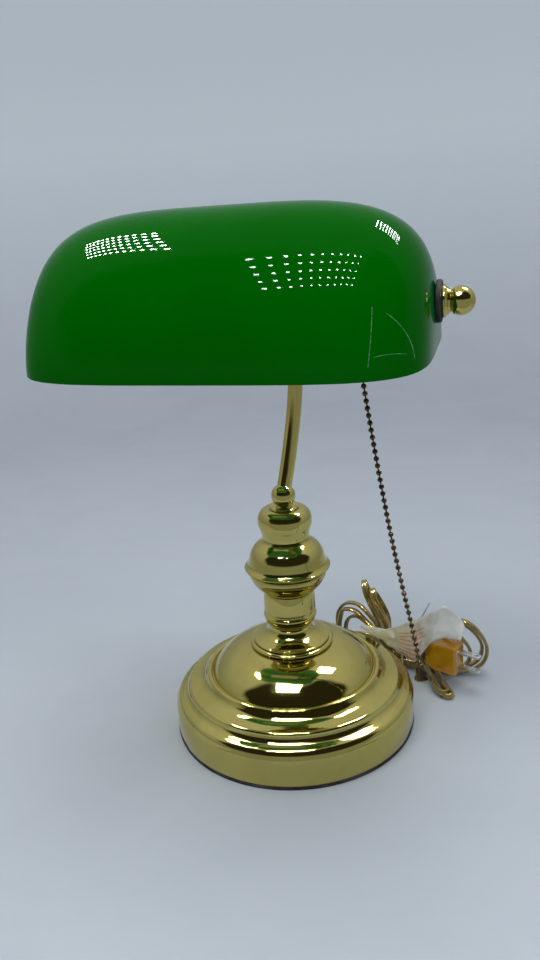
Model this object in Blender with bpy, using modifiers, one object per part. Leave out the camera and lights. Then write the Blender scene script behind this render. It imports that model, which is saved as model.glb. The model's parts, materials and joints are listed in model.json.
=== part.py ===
"""Banker's desk lamp: turned brass stand, crook arm, swivelling bail and a tilting glass shade.

Metres, +Z up. The origin is the centre of the base on the table. +X runs along the shade
towards its right-hand finial, and +Y points to the back of the lamp, where the cord leaves.
Profiles and routes are written in millimetres and scaled by MM where they are built.
"""
import math

import bmesh
import bpy
from mathutils import Matrix, Vector

MM = 0.001

# Driving dimensions, in millimetres
GAP = 0.3                      # clearance between pieces that touch
BASE_RADIUS = 89.0             # a seven inch base
PIPE_RADIUS = 4.8              # 1/8 IP threaded pipe
PIPE_BORE = 3.2
BORE_CLEAR = PIPE_RADIUS + GAP
ARM_RADIUS = 5.0
ARM_WALL = 1.15
BALL_CENTRE_Z = 178.0
BALL_RADIUS = 8.3

SWIVEL_X, SWIVEL_Y = -14.3, -38.2   # vertical axis where the bail turns on the arm
PIVOT_Z = 311.9                # height of the tilt axis through the finials
SHADE_TILT = 5.1               # degrees, front edge down
SHADE_HALF_LENGTH = 124.4
SHADE_HALF_DEPTH = 75.1
SHADE_HEIGHT = 87.3
SHADE_RIM_DROP = 27.2          # rim below the tilt axis
SHADE_WALL = 4.0
SHADE_PLAN_POWER = 4.5         # squareness seen from above
SHADE_END_POWER = 3.9          # squareness seen from the front
SHADE_SECTION_POWER = 1.4      # roundness seen from the end, 1 is an ellipse
SHADE_HOLE_RADIUS = 4.0

BAIL_HALF_SPAN = 110.8
BAIL_TOP_Z = 344.1
BAIL_WIDTH = 12.0
BAIL_THICKNESS = 1.6
BAIL_BEND = 8.0
STUD_RADIUS = 2.4
STUD_CLEAR = STUD_RADIUS + GAP

SOCKET_Z = 306.0               # height of the lampholder's axis
CHAIN_X = 64.6                 # where the pull chain leaves the lampholder
PULL_END_Z = 277.0             # lower end of the pull link
BUSHING_Z = 7.6
CORD_RADIUS = 2.6
CORD_GROUND = 3.2              # height of the cord's middle where it lies on the table

# Directions
REACH = math.hypot(SWIVEL_X, SWIVEL_Y)
BACK = Vector((-SWIVEL_X / REACH, -SWIVEL_Y / REACH, 0.0))
EXIT = Vector((-0.15, 0.9887, 0.0))        # the way the cord leaves the base
HANK_ANGLE = math.radians(-19.0)
HANK_START = Vector((20.0, 104.0, 0.0))
HANK_ALONG = Vector((math.cos(HANK_ANGLE), math.sin(HANK_ANGLE), 0.0))
HANK_BACK = Vector((-HANK_ALONG.y, HANK_ALONG.x, 0.0))


# ---------------------------------------------------------------- scene helpers

def clear_scene():
    for obj in list(bpy.data.objects):
        bpy.data.objects.remove(obj, do_unlink=True)


def new_collection(name):
    collection = bpy.data.collections.new(name)
    bpy.context.scene.collection.children.link(collection)
    return collection


clear_scene()
PARTS = new_collection("banker_lamp")
CUTTERS = new_collection("cutters")

# name: colour, roughness, metallic
FINISHES = {
    "polished_brass": ((0.83, 0.66, 0.24), 0.12, 1.0),
    "aged_brass": ((0.62, 0.47, 0.20), 0.25, 1.0),
    "dark_bronze": ((0.16, 0.11, 0.06), 0.35, 1.0),
    "zinc_steel": ((0.60, 0.61, 0.62), 0.30, 1.0),
    "cast_iron": ((0.20, 0.20, 0.21), 0.70, 1.0),
    "aluminium": ((0.80, 0.80, 0.82), 0.30, 1.0),
    "black_rubber": ((0.02, 0.02, 0.02), 0.75, 0.0),
    "green_glass": ((0.00, 0.20, 0.02), 0.05, 0.0),
    "bulb_glass": ((0.92, 0.92, 0.90), 0.25, 0.0),
    "phenolic": ((0.03, 0.03, 0.03), 0.35, 0.0),
    "liner_board": ((0.45, 0.36, 0.25), 0.85, 0.0),
    "felt": ((0.03, 0.10, 0.05), 0.95, 0.0),
    "gold_cord": ((0.60, 0.42, 0.12), 0.20, 0.0),
    "amber_plug": ((0.80, 0.42, 0.03), 0.15, 0.0),
    "paper": ((0.88, 0.87, 0.84), 0.80, 0.0),
}


def finish_of(name):
    material = bpy.data.materials.get(name)
    if material is None:
        colour, roughness, metallic = FINISHES[name]
        material = bpy.data.materials.new(name)
        material.use_nodes = True
        shader = material.node_tree.nodes["Principled BSDF"]
        shader.inputs["Base Color"].default_value = (*colour, 1.0)
        shader.inputs["Roughness"].default_value = roughness
        shader.inputs["Metallic"].default_value = metallic
    return material


def add_object(name, data, finish, location=(0, 0, 0), parent=None):
    """Link an object to the lamp and give it its finish; location is in millimetres."""
    obj = bpy.data.objects.new(name, data)
    PARTS.objects.link(obj)
    obj.location = Vector(location) * MM
    if parent is not None:
        obj.parent = parent
    data.materials.append(finish_of(finish))
    return obj


def add_axis(name, location, parent=None, rotation=(0, 0, 0)):
    """An empty on a joint's axis, which carries the pieces that move with it."""
    empty = bpy.data.objects.new(name, None)
    PARTS.objects.link(empty)
    empty.location = Vector(location) * MM
    empty.rotation_euler = rotation
    empty.empty_display_size = 0.02
    if parent is not None:
        empty.parent = parent
    return empty


def solid_mesh(name, build):
    mesh = bpy.data.meshes.new(name)
    bm = bmesh.new()
    build(bm)
    bmesh.ops.recalc_face_normals(bm, faces=bm.faces)
    bm.to_mesh(mesh)
    bm.free()
    return mesh


# ---------------------------------------------------------------- shape helpers

def turned(name, profile, finish, steps=20, location=(0, 0, 0), turn=None, parent=None):
    """A lathe-turned piece. The profile's (radius, height) points run down its outer side."""
    mesh = bpy.data.meshes.new(name)
    points = [(radius * MM, 0.0, height * MM) for radius, height in profile]
    edges = [(i, i + 1) for i in range(len(points) - 1)]
    if profile[0][0] > 0:
        edges.append((len(points) - 1, 0))
    mesh.from_pydata(points, edges, [])
    obj = add_object(name, mesh, finish, location, parent)
    if turn is not None:
        obj.rotation_euler = turn
    screw = obj.modifiers.new("turn", "SCREW")
    screw.steps = steps
    screw.render_steps = steps
    screw.use_merge_vertices = True
    screw.merge_threshold = 0.00001
    screw.use_smooth_shade = True
    return obj


def ring_profile(outer, inner, top, bottom):
    return [(outer, top), (outer, bottom), (inner, bottom), (inner, top)]


def tube(name, route, radius, finish, resolution=2, cyclic=False, parent=None, location=(0, 0, 0)):
    """A round rod or cord along a route in millimetres."""
    curve = bpy.data.curves.new(name, "CURVE")
    curve.dimensions = "3D"
    curve.bevel_depth = radius * MM
    curve.bevel_resolution = resolution
    curve.use_fill_caps = not cyclic
    spline = curve.splines.new("POLY")
    spline.points.add(len(route) - 1)
    for point, place in zip(spline.points, route):
        point.co = (*(Vector(place) * MM), 1.0)
    spline.use_cyclic_u = cyclic
    return add_object(name, curve, finish, location, parent)


def flat_outline(name, outline, half_width, finish, location=(0, 0, 0), parent=None):
    """A plate cut to an outline of (x, z) points, lying in the XZ plane."""
    curve = bpy.data.curves.new(name, "CURVE")
    curve.dimensions = "2D"
    curve.fill_mode = "BOTH"
    curve.extrude = half_width * MM
    spline = curve.splines.new("POLY")
    spline.points.add(len(outline) - 1)
    for point, (x, z) in zip(spline.points, outline):
        point.co = (x * MM, z * MM, 0.0, 1.0)
    spline.use_cyclic_u = True
    obj = add_object(name, curve, finish, location, parent)
    obj.rotation_euler = (math.radians(90), 0, 0)
    return as_mesh(obj)


def as_mesh(obj):
    """The same piece as a mesh with its caps welded, ready to be cut."""
    bpy.context.view_layer.update()
    evaluated = obj.evaluated_get(bpy.context.evaluated_depsgraph_get())
    mesh = bpy.data.meshes.new_from_object(evaluated)
    bm = bmesh.new()
    bm.from_mesh(mesh)
    bmesh.ops.remove_doubles(bm, verts=bm.verts, dist=0.000001)
    bmesh.ops.recalc_face_normals(bm, faces=bm.faces)
    bm.to_mesh(mesh)
    bm.free()
    name, parent, matrix = obj.name, obj.parent, obj.matrix_local.copy()
    bpy.data.objects.remove(obj, do_unlink=True)
    solid = bpy.data.objects.new(name, mesh)
    PARTS.objects.link(solid)
    solid.parent = parent
    solid.matrix_local = matrix
    return solid


def cylinder_mesh(name, radius, length, sides):
    def build(bm):
        bmesh.ops.create_cone(bm, cap_ends=True, segments=sides, radius1=radius * MM,
                              radius2=radius * MM, depth=length * MM)
    return solid_mesh(name, build)


def block_mesh(name, size, bevel=0.0, segments=2):
    def build(bm):
        bmesh.ops.create_cube(bm, size=1.0)
        bmesh.ops.scale(bm, vec=Vector(size) * MM, verts=bm.verts)
        if bevel:
            bmesh.ops.bevel(bm, geom=bm.edges[:], offset=bevel * MM, segments=segments,
                            profile=0.5, affect="EDGES")
    return solid_mesh(name, build)


def facing(direction):
    """Rotation that takes +Z to a direction."""
    return Vector(direction).to_track_quat("Z", "Y").to_euler()


def cut(obj, mesh, location, rotation=(0, 0, 0)):
    """Cut a hole or pocket. The cutter shares the piece's parent and its millimetres."""
    cutter = bpy.data.objects.new(obj.name + "_cutter", mesh)
    CUTTERS.objects.link(cutter)
    cutter.location = Vector(location) * MM
    cutter.rotation_euler = rotation
    cutter.parent = obj.parent
    cutter.hide_render = True
    cutter.display_type = "WIRE"
    boolean = obj.modifiers.new("cut", "BOOLEAN")
    boolean.object = cutter
    boolean.operation = "DIFFERENCE"
    boolean.solver = "EXACT"


def drill(obj, location, direction, radius, length, sides=16):
    cut(obj, cylinder_mesh("drill", radius, length, sides), location, facing(direction))


def hex_nut(name, bore, across, height, finish, location, direction, parent=None):
    nut = add_object(name, cylinder_mesh(name, across / 2, height, 6), finish, location, parent)
    nut.rotation_euler = facing(direction)
    drill(nut, location, direction, bore, height * 3)
    return nut


def smooth_route(points, spacing):
    """Points every `spacing` millimetres on a Catmull-Rom curve through a route."""
    places = [Vector(point) for point in points]
    places = [2 * places[0] - places[1]] + places + [2 * places[-1] - places[-2]]
    fine = []
    for p0, p1, p2, p3 in zip(places, places[1:], places[2:], places[3:]):
        for step in range(20):
            t = step / 20
            fine.append(0.5 * (2 * p1 + (p2 - p0) * t + (2 * p0 - 5 * p1 + 4 * p2 - p3) * t ** 2
                               + (3 * p1 - p0 - 3 * p2 + p3) * t ** 3))
    fine.append(places[-2])
    lengths = [0.0]
    for start, end in zip(fine, fine[1:]):
        lengths.append(lengths[-1] + (end - start).length)
    count = max(2, round(lengths[-1] / spacing))
    route = []
    index = 0
    for step in range(count + 1):
        wanted = lengths[-1] * step / count
        while index < len(fine) - 2 and lengths[index + 1] < wanted:
            index += 1
        span = lengths[index + 1] - lengths[index]
        route.append(fine[index].lerp(fine[index + 1], (wanted - lengths[index]) / span))
    return route


# ---------------------------------------------------------------- stand: base and stem

BASE_OUTER = [
    (31.0, 63.6), (39.0, 61.6), (47.0, 57.8), (53.6, 52.6), (58.4, 47.2), (61.0, 43.6),
    (63.4, 43.9), (65.6, 42.6), (67.2, 40.2), (71.6, 37.8), (76.0, 36.8), (78.3, 35.0),
    (79.3, 32.6), (81.4, 30.4), (84.4, 28.8), (86.6, 26.4), (88.0, 23.2), (BASE_RADIUS, 2.5),
]
BASE_INNER = [
    (87.6, 2.5), (86.6, 22.6), (82.6, 27.6), (78.2, 31.4), (76.2, 34.6), (70.4, 36.4),
    (65.0, 41.0), (60.2, 42.0), (57.0, 46.4), (46.2, 56.4), (31.0, 62.2),
]


def exit_way(distance, height):
    return Vector((EXIT.x * distance, EXIT.y * distance, height))


def make_base():
    shell = turned("base_shell", [(BORE_CLEAR, 63.6)] + BASE_OUTER + BASE_INNER
                   + [(BORE_CLEAR, 62.2)], "polished_brass", steps=32)
    drill(shell, exit_way(BASE_RADIUS - 2, BUSHING_Z), EXIT, 4.6, 12)
    turned("base_rim_ring", ring_profile(89.2, 83.2, 2.2, 0.0), "black_rubber", steps=32)
    turned("base_pad", [(0, 1.6), (82.6, 1.6), (82.6, 0), (0, 0)], "felt", steps=24)
    turned("base_weight", [(BORE_CLEAR, 26.0), (60, 26.0), (72, 24.0), (74, 21.0), (74, 14.4),
                           (BORE_CLEAR, 14.4)], "cast_iron", steps=24)
    turned("threaded_pipe", ring_profile(PIPE_RADIUS, PIPE_BORE, 177.0, 9.0), "zinc_steel", 16)
    hex_nut("bottom_nut", BORE_CLEAR, 19.0, 4.6, "zinc_steel", (0, 0, 11.6), (0, 0, 1))
    hex_nut("top_nut", BORE_CLEAR, 19.0, 4.6, "zinc_steel", (0, 0, 59.5), (0, 0, 1))
    bushing = [(3.1, 8.0), (3.9, 8.0), (4.6, 2.6), (6.4, 1.9), (6.4, 0.5), (4.2, 0.4),
               (4.2, -3.4), (3.1, -3.4)]
    turned("cord_bushing", bushing, "phenolic", 16, exit_way(BASE_RADIUS, BUSHING_Z),
           facing(EXIT))


def make_stem():
    pieces = {
        "base_collar": [
            (14.0, 78.0), (14.6, 76.4), (16.4, 73.8), (19.4, 71.6), (23.4, 69.8), (26.8, 68.4),
            (27.2, 67.2), (29.6, 66.8), (30.6, 65.4), (30.2, 63.9)],
        "stem_neck": [
            (17.6, 89.7), (18.4, 88.2), (18.5, 85.8), (17.6, 82.8), (15.8, 80.4), (14.5, 78.3)],
        "stem_cup": [(17.3, 101.5), (17.9, 100.0), (18.1, 97.0), (18.1, 90.0)],
        "vase_lower": [
            (28.2, 121.9), (27.6, 119.2), (26.2, 115.4), (24.0, 111.0), (21.0, 106.6),
            (18.6, 103.6), (17.4, 101.8)],
        "vase_upper": [
            (16.9, 143.0), (18.2, 141.2), (21.0, 139.0), (23.8, 135.8), (25.8, 132.2),
            (27.2, 128.6), (27.8, 126.6), (29.5, 126.0), (30.3, 124.6), (29.6, 123.0),
            (28.2, 122.2)],
        "stem_cap": [
            (9.3, 168.3), (10.6, 169.8), (12.6, 170.5), (14.8, 169.6), (16.6, 167.4),
            (17.8, 164.0), (18.1, 160.0), (17.6, 154.0), (17.2, 148.0), (16.9, 143.3)],
        "ball_flange": [
            (7.4, 171.2), (8.6, 170.6), (8.8, 169.8), (8.4, 169.0), (7.4, 168.6)],
    }
    for name, outline in pieces.items():
        bore_top = [(BORE_CLEAR, outline[0][1])]
        bore_bottom = [(BORE_CLEAR, outline[-1][1])]
        turned(name, bore_top + outline + bore_bottom, "polished_brass")


def ball_outline(radius, centre, start, end, count):
    """Points of a ball's profile from one latitude down to another, in degrees."""
    angles = [math.radians(start + (end - start) * i / (count - 1)) for i in range(count)]
    return [(radius * math.cos(a), centre + radius * math.sin(a)) for a in angles]


# ---------------------------------------------------------------- arm

# (distance behind the stem, height), bending back and then forward over the bulb
ARM_ROUTE = [
    (0.8, 180.2), (3.6, 188.0), (7.7, 199.4), (12.8, 215.5), (17.2, 231.7), (20.5, 248.1),
    (22.4, 265.0), (22.0, 282.0), (18.4, 300.0), (10.5, 316.0), (-1.5, 328.2), (-16.0, 333.8),
    (-30.0, 334.5), (-36.4, 334.5),
]
KNUCKLE_RADIUS = 8.5
KNUCKLE_BOTTOM = 326.0
KNUCKLE_TOP = 343.0
ARM_END_Z = 334.5


def behind(distance, height):
    place = BACK * distance
    return Vector((place.x, place.y, height))


def make_arm():
    ball = turned("ball_coupling",
                  [(0, BALL_CENTRE_Z + BALL_RADIUS)]
                  + ball_outline(BALL_RADIUS, BALL_CENTRE_Z, 72, -42, 9)
                  + [(6.0, 171.5), (0, 171.5)], "polished_brass", 16)
    lean = behind(*ARM_ROUTE[1]) - behind(*ARM_ROUTE[0])
    drill(ball, (0, 0, BALL_CENTRE_Z - 6), (0, 0, 1), BORE_CLEAR, 14)
    drill(ball, behind(3.2, 187.2), lean, ARM_RADIUS + GAP, 19)

    route = smooth_route([behind(*point) for point in ARM_ROUTE], 9.0)
    arm = tube("arm_tube", route, ARM_RADIUS, "polished_brass", resolution=2)
    arm.data.use_fill_caps = False
    arm = as_mesh(arm)
    wall = arm.modifiers.new("wall", "SOLIDIFY")
    wall.thickness = ARM_WALL * MM
    wall.offset = -1.0

    knuckle = turned("arm_knuckle", [(0, 351.5), (3.0, 351.5), (3.0, KNUCKLE_TOP),
                                     (KNUCKLE_RADIUS - 0.8, KNUCKLE_TOP),
                                     (KNUCKLE_RADIUS, KNUCKLE_TOP - 0.8),
                                     (KNUCKLE_RADIUS, KNUCKLE_BOTTOM + 0.8),
                                     (KNUCKLE_RADIUS - 0.8, KNUCKLE_BOTTOM),
                                     (0, KNUCKLE_BOTTOM)],
                     "polished_brass", 20, (SWIVEL_X, SWIVEL_Y, 0))
    drill(knuckle, behind(-REACH + 9, ARM_END_Z), BACK, ARM_RADIUS + GAP, 9.6)

    lead = [exit_way(84.6, BUSHING_Z - 1), exit_way(60, 5.2), exit_way(14, 4.6), behind(3, 5.4),
            behind(0, 9.0), behind(0, 20), behind(0, 80), behind(0, 150), behind(0, 172)]
    lead += [behind(*point) for point in ARM_ROUTE[1:-1]]
    tube("inner_lead", smooth_route(lead, 12.0), 1.6, "gold_cord", resolution=0)


# ---------------------------------------------------------------- lamp head: bail and lampholder

def make_bail(head):
    """A brass strip bent down at both ends, turning on the knuckle's stud."""
    half = BAIL_THICKNESS / 2
    outline = []
    for radius, side in ((BAIL_BEND + half, 1), (BAIL_BEND - half, -1)):
        edge = half * side
        corner = [math.radians(90 * i / 4) for i in range(5)]
        right = [(BAIL_HALF_SPAN - BAIL_BEND + radius * math.cos(a),
                  BAIL_TOP_Z - BAIL_BEND + radius * math.sin(a)) for a in corner]
        path = [(BAIL_HALF_SPAN + edge, 303.0)] + right
        path += [(-x, z) for x, z in reversed(path)]
        outline += path if side == 1 else list(reversed(path))
    bail = flat_outline("shade_bail", outline, BAIL_WIDTH / 2, "aged_brass", parent=head)
    drill(bail, (0, 0, BAIL_TOP_Z), (0, 0, 1), 3.0 + GAP, 8)
    drill(bail, (0, 0, PIVOT_Z), (1, 0, 0), STUD_CLEAR, 2 * BAIL_HALF_SPAN + 20)
    drill(bail, (STRAP_RIVET_X, 0, BAIL_TOP_Z), (0, 0, 1), 2.0, 8)
    hex_nut("swivel_nut", 3.0 + GAP, 12.0, 4.8, "aged_brass", (0, 0, 347.7), (0, 0, 1), head)

    for side, sign, stud_end in (("left", -1, 135.8), ("right", 1, 139.4)):
        towards = (0, math.radians(90) * sign, 0)
        stud = [(0, stud_end), (STUD_RADIUS, stud_end), (STUD_RADIUS, 109.7), (4.2, 109.7),
                (4.2, 107.6), (0, 107.6)]
        turned("pivot_stud_" + side, stud, "zinc_steel", 12, (0, 0, PIVOT_Z), towards, head)
        hex_nut("jam_nut_" + side, STUD_CLEAR, 10.0, 3.8, "aged_brass",
                (113.9 * sign, 0, PIVOT_Z), (1, 0, 0), head)


STRAP_RIVET_X = 72.0
STRAP_LEG_X = 101.0
CAP_FACE_X = 100.7
GUIDE_X = CHAIN_X - SWIVEL_X


def make_lampholder(head):
    """The pull-chain lampholder lies along the shade, hung from the bail by a strap."""
    strap = flat_outline("socket_strap", [
        (60, 342.9), (STRAP_LEG_X + 1.5, 342.9), (STRAP_LEG_X + 1.5, 293), (STRAP_LEG_X, 293),
        (STRAP_LEG_X, 341.4), (60, 341.4)], 6.0, "zinc_steel", parent=head)
    drill(strap, (STRAP_RIVET_X, 0, 342), (0, 0, 1), 2.0, 8)
    drill(strap, (STRAP_LEG_X, 0, SOCKET_Z), (1, 0, 0), BORE_CLEAR, 8)
    turned("strap_rivet", [(0, 347.2), (2.2, 346.8), (3.4, 345.9), (3.4, 345.2), (1.7, 345.2),
                           (1.7, 341.1), (3.0, 341.1), (2.6, 339.9), (0, 339.5)],
           "zinc_steel", 12, (STRAP_RIVET_X, 0, 0), None, head)

    axis = (0, 0, SOCKET_Z)
    along = (0, math.radians(90), 0)
    turned("socket_nipple", [
        (7.4, 105.8), (7.4, 102.8), (PIPE_RADIUS, 102.8), (PIPE_RADIUS, 94.0),
        (PIPE_BORE, 94.0), (PIPE_BORE, 105.8)], "zinc_steel", 16, axis, along, head)
    turned("socket_cap", [
        (BORE_CLEAR, CAP_FACE_X), (12.0, 100.5), (15.6, 98.2), (17.4, 94.0), (17.8, 87.6),
        (18.6, 86.6), (18.6, 83.4), (17.8, 83.4), (17.8, 86.0), (17.0, 87.2), (16.6, 93.6),
        (14.8, 97.4), (11.6, 99.7), (BORE_CLEAR, 99.9)], "aged_brass", 20, axis, along, head)
    shell = turned("socket_shell", [
        (16.6, 86.8), (16.6, 47.0), (17.2, 46.0), (17.2, 44.6), (16.6, 43.6), (15.9, 43.6),
        (15.9, 86.8)], "aged_brass", 20, axis, along, head)
    liner = turned("socket_liner", ring_profile(15.6, 15.0, 86.4, 46.0), "liner_board", 16,
                   axis, along, head)
    body = turned("socket_core", [(0, 86.2), (13.4, 86.2), (14.5, 85.0), (14.5, 66.2),
                                  (0, 66.2)], "phenolic", 16, axis, along, head)
    turned("screw_shell", ring_profile(14.2, 13.5, 65.8, 46.6), "aluminium", 20, axis, along,
           head)
    for piece in (shell, liner):
        drill(piece, (GUIDE_X, 0, SOCKET_Z - 15.6), (0, 0, 1), 2.4, 6, 12)
    cut(body, block_mesh("pocket", (11.2, 8.0, 14.0)), (GUIDE_X, 0, SOCKET_Z - 9.0))
    turned("chain_guide", [(2.0, 289.1), (3.6, 289.1), (3.6, 283.4), (4.2, 280.0), (4.8, 279.0),
                           (4.0, 278.6), (2.0, 279.4)], "aged_brass", 16, (GUIDE_X, 0, 0),
           None, head)
    turned("bulb_cap", [(0, 64.5), (4.6, 64.5), (9.0, 62.4), (13.1, 60.4), (13.1, 47.2),
                        (0, 47.2)], "aluminium", 16, axis, along, head)
    turned("bulb_glass", [(0, 46.9), (12.8, 46.9), (13.6, 40.0), (15.6, 33.0), (16.0, 26.0),
                          (16.0, -60.0), (14.6, -67.0), (10.6, -72.4), (5.4, -74.8),
                          (0, -75.4)], "bulb_glass", 16, axis, along, head)


LEVER_PIN_X = GUIDE_X + 3.2
LEVER_PIN_Z = SOCKET_Z - 5.0


def make_switch(head):
    """The pull link comes down through the guide and turns the lever in the core's pocket."""
    lever_axis = add_axis("lever_axis", (LEVER_PIN_X, 0, LEVER_PIN_Z), head)
    add_object("switch_lever", block_mesh("lever", (7.6, 1.2, 2.8)), "aged_brass",
               (-2.2, 2.2, 0), lever_axis)

    pull_axis = add_axis("pull_axis", (GUIDE_X, 0, PULL_END_Z), head)
    turned("pull_link", [(0, 20.0), (1.2, 20.0), (1.2, 1.2), (1.7, 0.8), (1.7, 0.0), (0, 0.0)],
           "aged_brass", 12, (0, 0, 0), None, pull_axis)
    make_chain(pull_axis)


# (x, z) of the hanging chain from the pull link, a little aslant as it is left hanging
CHAIN_ROUTE = [(0.0, -0.9), (4.4, -32.5), (10.0, -69.5), (17.0, -111.5), (24.0, -147.5),
               (29.6, -174.5), (34.2, -200.6)]
CHAIN_RADIUS = 1.6
BELL_HEIGHT = 11.0


def make_chain(pull_axis):
    swing_axis = add_axis("swing_axis", (0, 0, 0), pull_axis)
    route = smooth_route([(x, 0, z) for x, z in CHAIN_ROUTE], 12.0)
    tube("pull_chain", route, CHAIN_RADIUS, "dark_bronze", 1, parent=swing_axis)
    fall = (route[-1] - route[-2]).normalized()
    top = route[-1] + fall * GAP
    bell = turned("chain_bell", [
        (0, 0.0), (2.4, 0.0), (3.2, -1.0), (3.5, -3.4), (4.0, -6.4), (5.2, -9.4), (5.5, -10.4),
        (5.3, -BELL_HEIGHT), (4.6, -10.4), (3.4, -6.4), (2.4, -3.4), (0, -2.6)],
        "dark_bronze", 16, top, facing(-fall), swing_axis)
    return bell


# ---------------------------------------------------------------- shade and its finials

def shade_surface(bm):
    """Half of a squarish ellipsoid, from a ball whose poles lie at the shade's two ends."""
    bmesh.ops.create_uvsphere(bm, u_segments=32, v_segments=18, radius=1.0)
    bmesh.ops.rotate(bm, verts=bm.verts, matrix=Matrix.Rotation(math.radians(90), 3, "Y"))
    below = [vert for vert in bm.verts if vert.co.z < -0.0001]
    bmesh.ops.delete(bm, geom=below, context="VERTS")
    for vert in bm.verts:
        x, y, z = vert.co
        swell = math.hypot(y, z)
        along = math.copysign(abs(x) ** (2 / SHADE_PLAN_POWER), x)
        width = max(0.0, 1 - abs(along) ** SHADE_PLAN_POWER) ** (1 / SHADE_PLAN_POWER)
        rise = max(0.0, 1 - abs(along) ** SHADE_END_POWER) ** (1 / SHADE_END_POWER)
        across, up = (y / swell, max(z, 0.0) / swell) if swell > 0.0001 else (0.0, 0.0)
        vert.co.x = SHADE_HALF_LENGTH * along * MM
        vert.co.y = SHADE_HALF_DEPTH * width * across * MM
        vert.co.z = (SHADE_HEIGHT * rise * up ** SHADE_SECTION_POWER - SHADE_RIM_DROP) * MM


def make_shade(head):
    tilt = add_axis("tilt_axis", (0, 0, PIVOT_Z), head, (math.radians(SHADE_TILT), 0, 0))
    glass = add_object("glass_shade", solid_mesh("glass_shade", shade_surface), "green_glass",
                       parent=tilt)
    wall = glass.modifiers.new("wall", "SOLIDIFY")
    wall.thickness = SHADE_WALL * MM
    wall.offset = -1.0
    wall.use_even_offset = True
    drill(glass, (0, 0, 0), (1, 0, 0), SHADE_HOLE_RADIUS, 2 * SHADE_HALF_LENGTH + 20)

    for side, sign in (("left", -1), ("right", 1)):
        towards = (0, math.radians(90) * sign, 0)
        turned("inner_washer_" + side, ring_profile(8.0, STUD_CLEAR, 118.6, 116.2),
               "black_rubber", 16, (0, 0, 0), towards, tilt)
        turned("outer_washer_" + side, [
            (11.6, 127.2), (12.2, 126.7), (12.2, 125.3), (11.6, 124.8), (STUD_CLEAR, 124.8),
            (STUD_CLEAR, 127.2)], "black_rubber", 20, (0, 0, 0), towards, tilt)
        turned("finial_collar_" + side, [
            (6.6, 132.4), (6.9, 131.2), (7.8, 130.8), (8.0, 129.6), (9.0, 129.2),
            (9.4, 128.6), (9.4, 127.5), (STUD_CLEAR, 127.5), (STUD_CLEAR, 132.4)],
            "polished_brass", 20, (0, 0, 0), towards, tilt)

    right = (0, math.radians(90), 0)
    ball = turned("finial_ball_right",
                  [(0, 145.9)] + ball_outline(8.4, 137.5, 78, -24, 9)
                  + [(6.8, 133.2), (6.8, 132.7), (0, 132.7)],
                  "polished_brass", 16, (0, 0, 0), right, tilt)
    drill(ball, (136.4, 0, 0), (1, 0, 0), STUD_CLEAR, 9.0, 12)
    cap = turned("finial_cap_left",
                 [(0, 138.4), (3.4, 138.0), (6.2, 136.4), (7.9, 134.0), (7.9, 132.7),
                  (0, 132.7)], "polished_brass", 16, (0, 0, 0), (0, math.radians(-90), 0), tilt)
    drill(cap, (-132.0, 0, 0), (1, 0, 0), STUD_CLEAR, 9.0, 12)


# ---------------------------------------------------------------- cord, tied in a hank

def hank(along, across, height):
    """A place in the tied bundle behind the base: along it, towards the back, and up."""
    return HANK_START + HANK_ALONG * along + HANK_BACK * across + Vector((0, 0, height))


def make_cord():
    start = exit_way(88.0, BUSHING_Z)
    tail = [start, exit_way(99.0, BUSHING_Z), exit_way(109.0, 4.4), (-5, 120, CORD_GROUND),
            (14, 127, CORD_GROUND), (34, 127, CORD_GROUND), (51, 121, CORD_GROUND),
            hank(40, 20, CORD_GROUND), hank(48, 16, 7.0), hank(49, 10.4, 11.0)]
    tube("cord_tail", smooth_route(tail, 6.0), CORD_RADIUS, "gold_cord", 2)

    bundle = add_object("cord_hank", block_mesh("cord_hank", (46.0, 18.0, 20.6), 7.0),
                        "gold_cord", hank(52, 0, 13.2))
    bundle.rotation_euler = (0, 0, HANK_ANGLE)
    arch = [hank(26.4, 3, 17), hank(20, 4, 34), hank(8, 5, 43), hank(-5, 5, 42),
            hank(-12, 5, 30), hank(-11, 4, 16), hank(-3, 1, 9), hank(10, 0, 9), hank(26.4, 0, 9)]
    tube("cord_arch", smooth_route(arch, 8.0), 3.6, "gold_cord", 2)
    tall = [hank(40, -3, 28.5), hank(33, -4, 40), hank(27, -5, 53), hank(23, -6, 69)]
    tube("cord_bights", smooth_route(tall, 7.0), 4.6, "gold_cord", 2)
    low = [hank(77.6, -4, 10), hank(83, -13, 6.0), hank(93, -23, 4.4), hank(105, -31, 4.4)]
    tube("cord_low_bight", smooth_route(low, 7.0), 4.0, "gold_cord", 2)

    loop = []
    for step in range(20):
        turn = 2 * math.pi * step / 20
        lift = 0.5 - 0.5 * math.cos(turn)
        loop.append(hank(101 + 18 * math.sin(turn), 14 + 21 * lift, 4.6 + 44 * lift))
    tube("cord_loops", loop, 4.0, "gold_cord", 2, cyclic=True)

    plug_turn = (0, 0, HANK_ANGLE)
    plug = add_object("plug_body", block_mesh("plug_body", (27.0, 18.0, 24.0), 2.0),
                      "amber_plug", hank(93, -9, 25))
    plug.rotation_euler = plug_turn
    for name, height in (("plug_blade_upper", 31.4), ("plug_blade_lower", 18.6)):
        blade = add_object(name, block_mesh(name, (17.0, 6.2, 1.5), 0.4, 1), "zinc_steel",
                           hank(115.4, -9, height))
        blade.rotation_euler = plug_turn

    tie = [hank(56, 6, 28), hank(56, 10.6, 22), hank(56, 10.8, 8), hank(56, 6, 0.9),
           hank(57, -6, 0.9), hank(57.4, -10.8, 8), hank(57.6, -10.6, 20), hank(59, -7, 27.0),
           hank(66, -2, 40), hank(76, 2, 62)]
    tube("twist_tie", smooth_route(tie, 5.0), 0.7, "zinc_steel", 1)
    make_tag()


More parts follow.
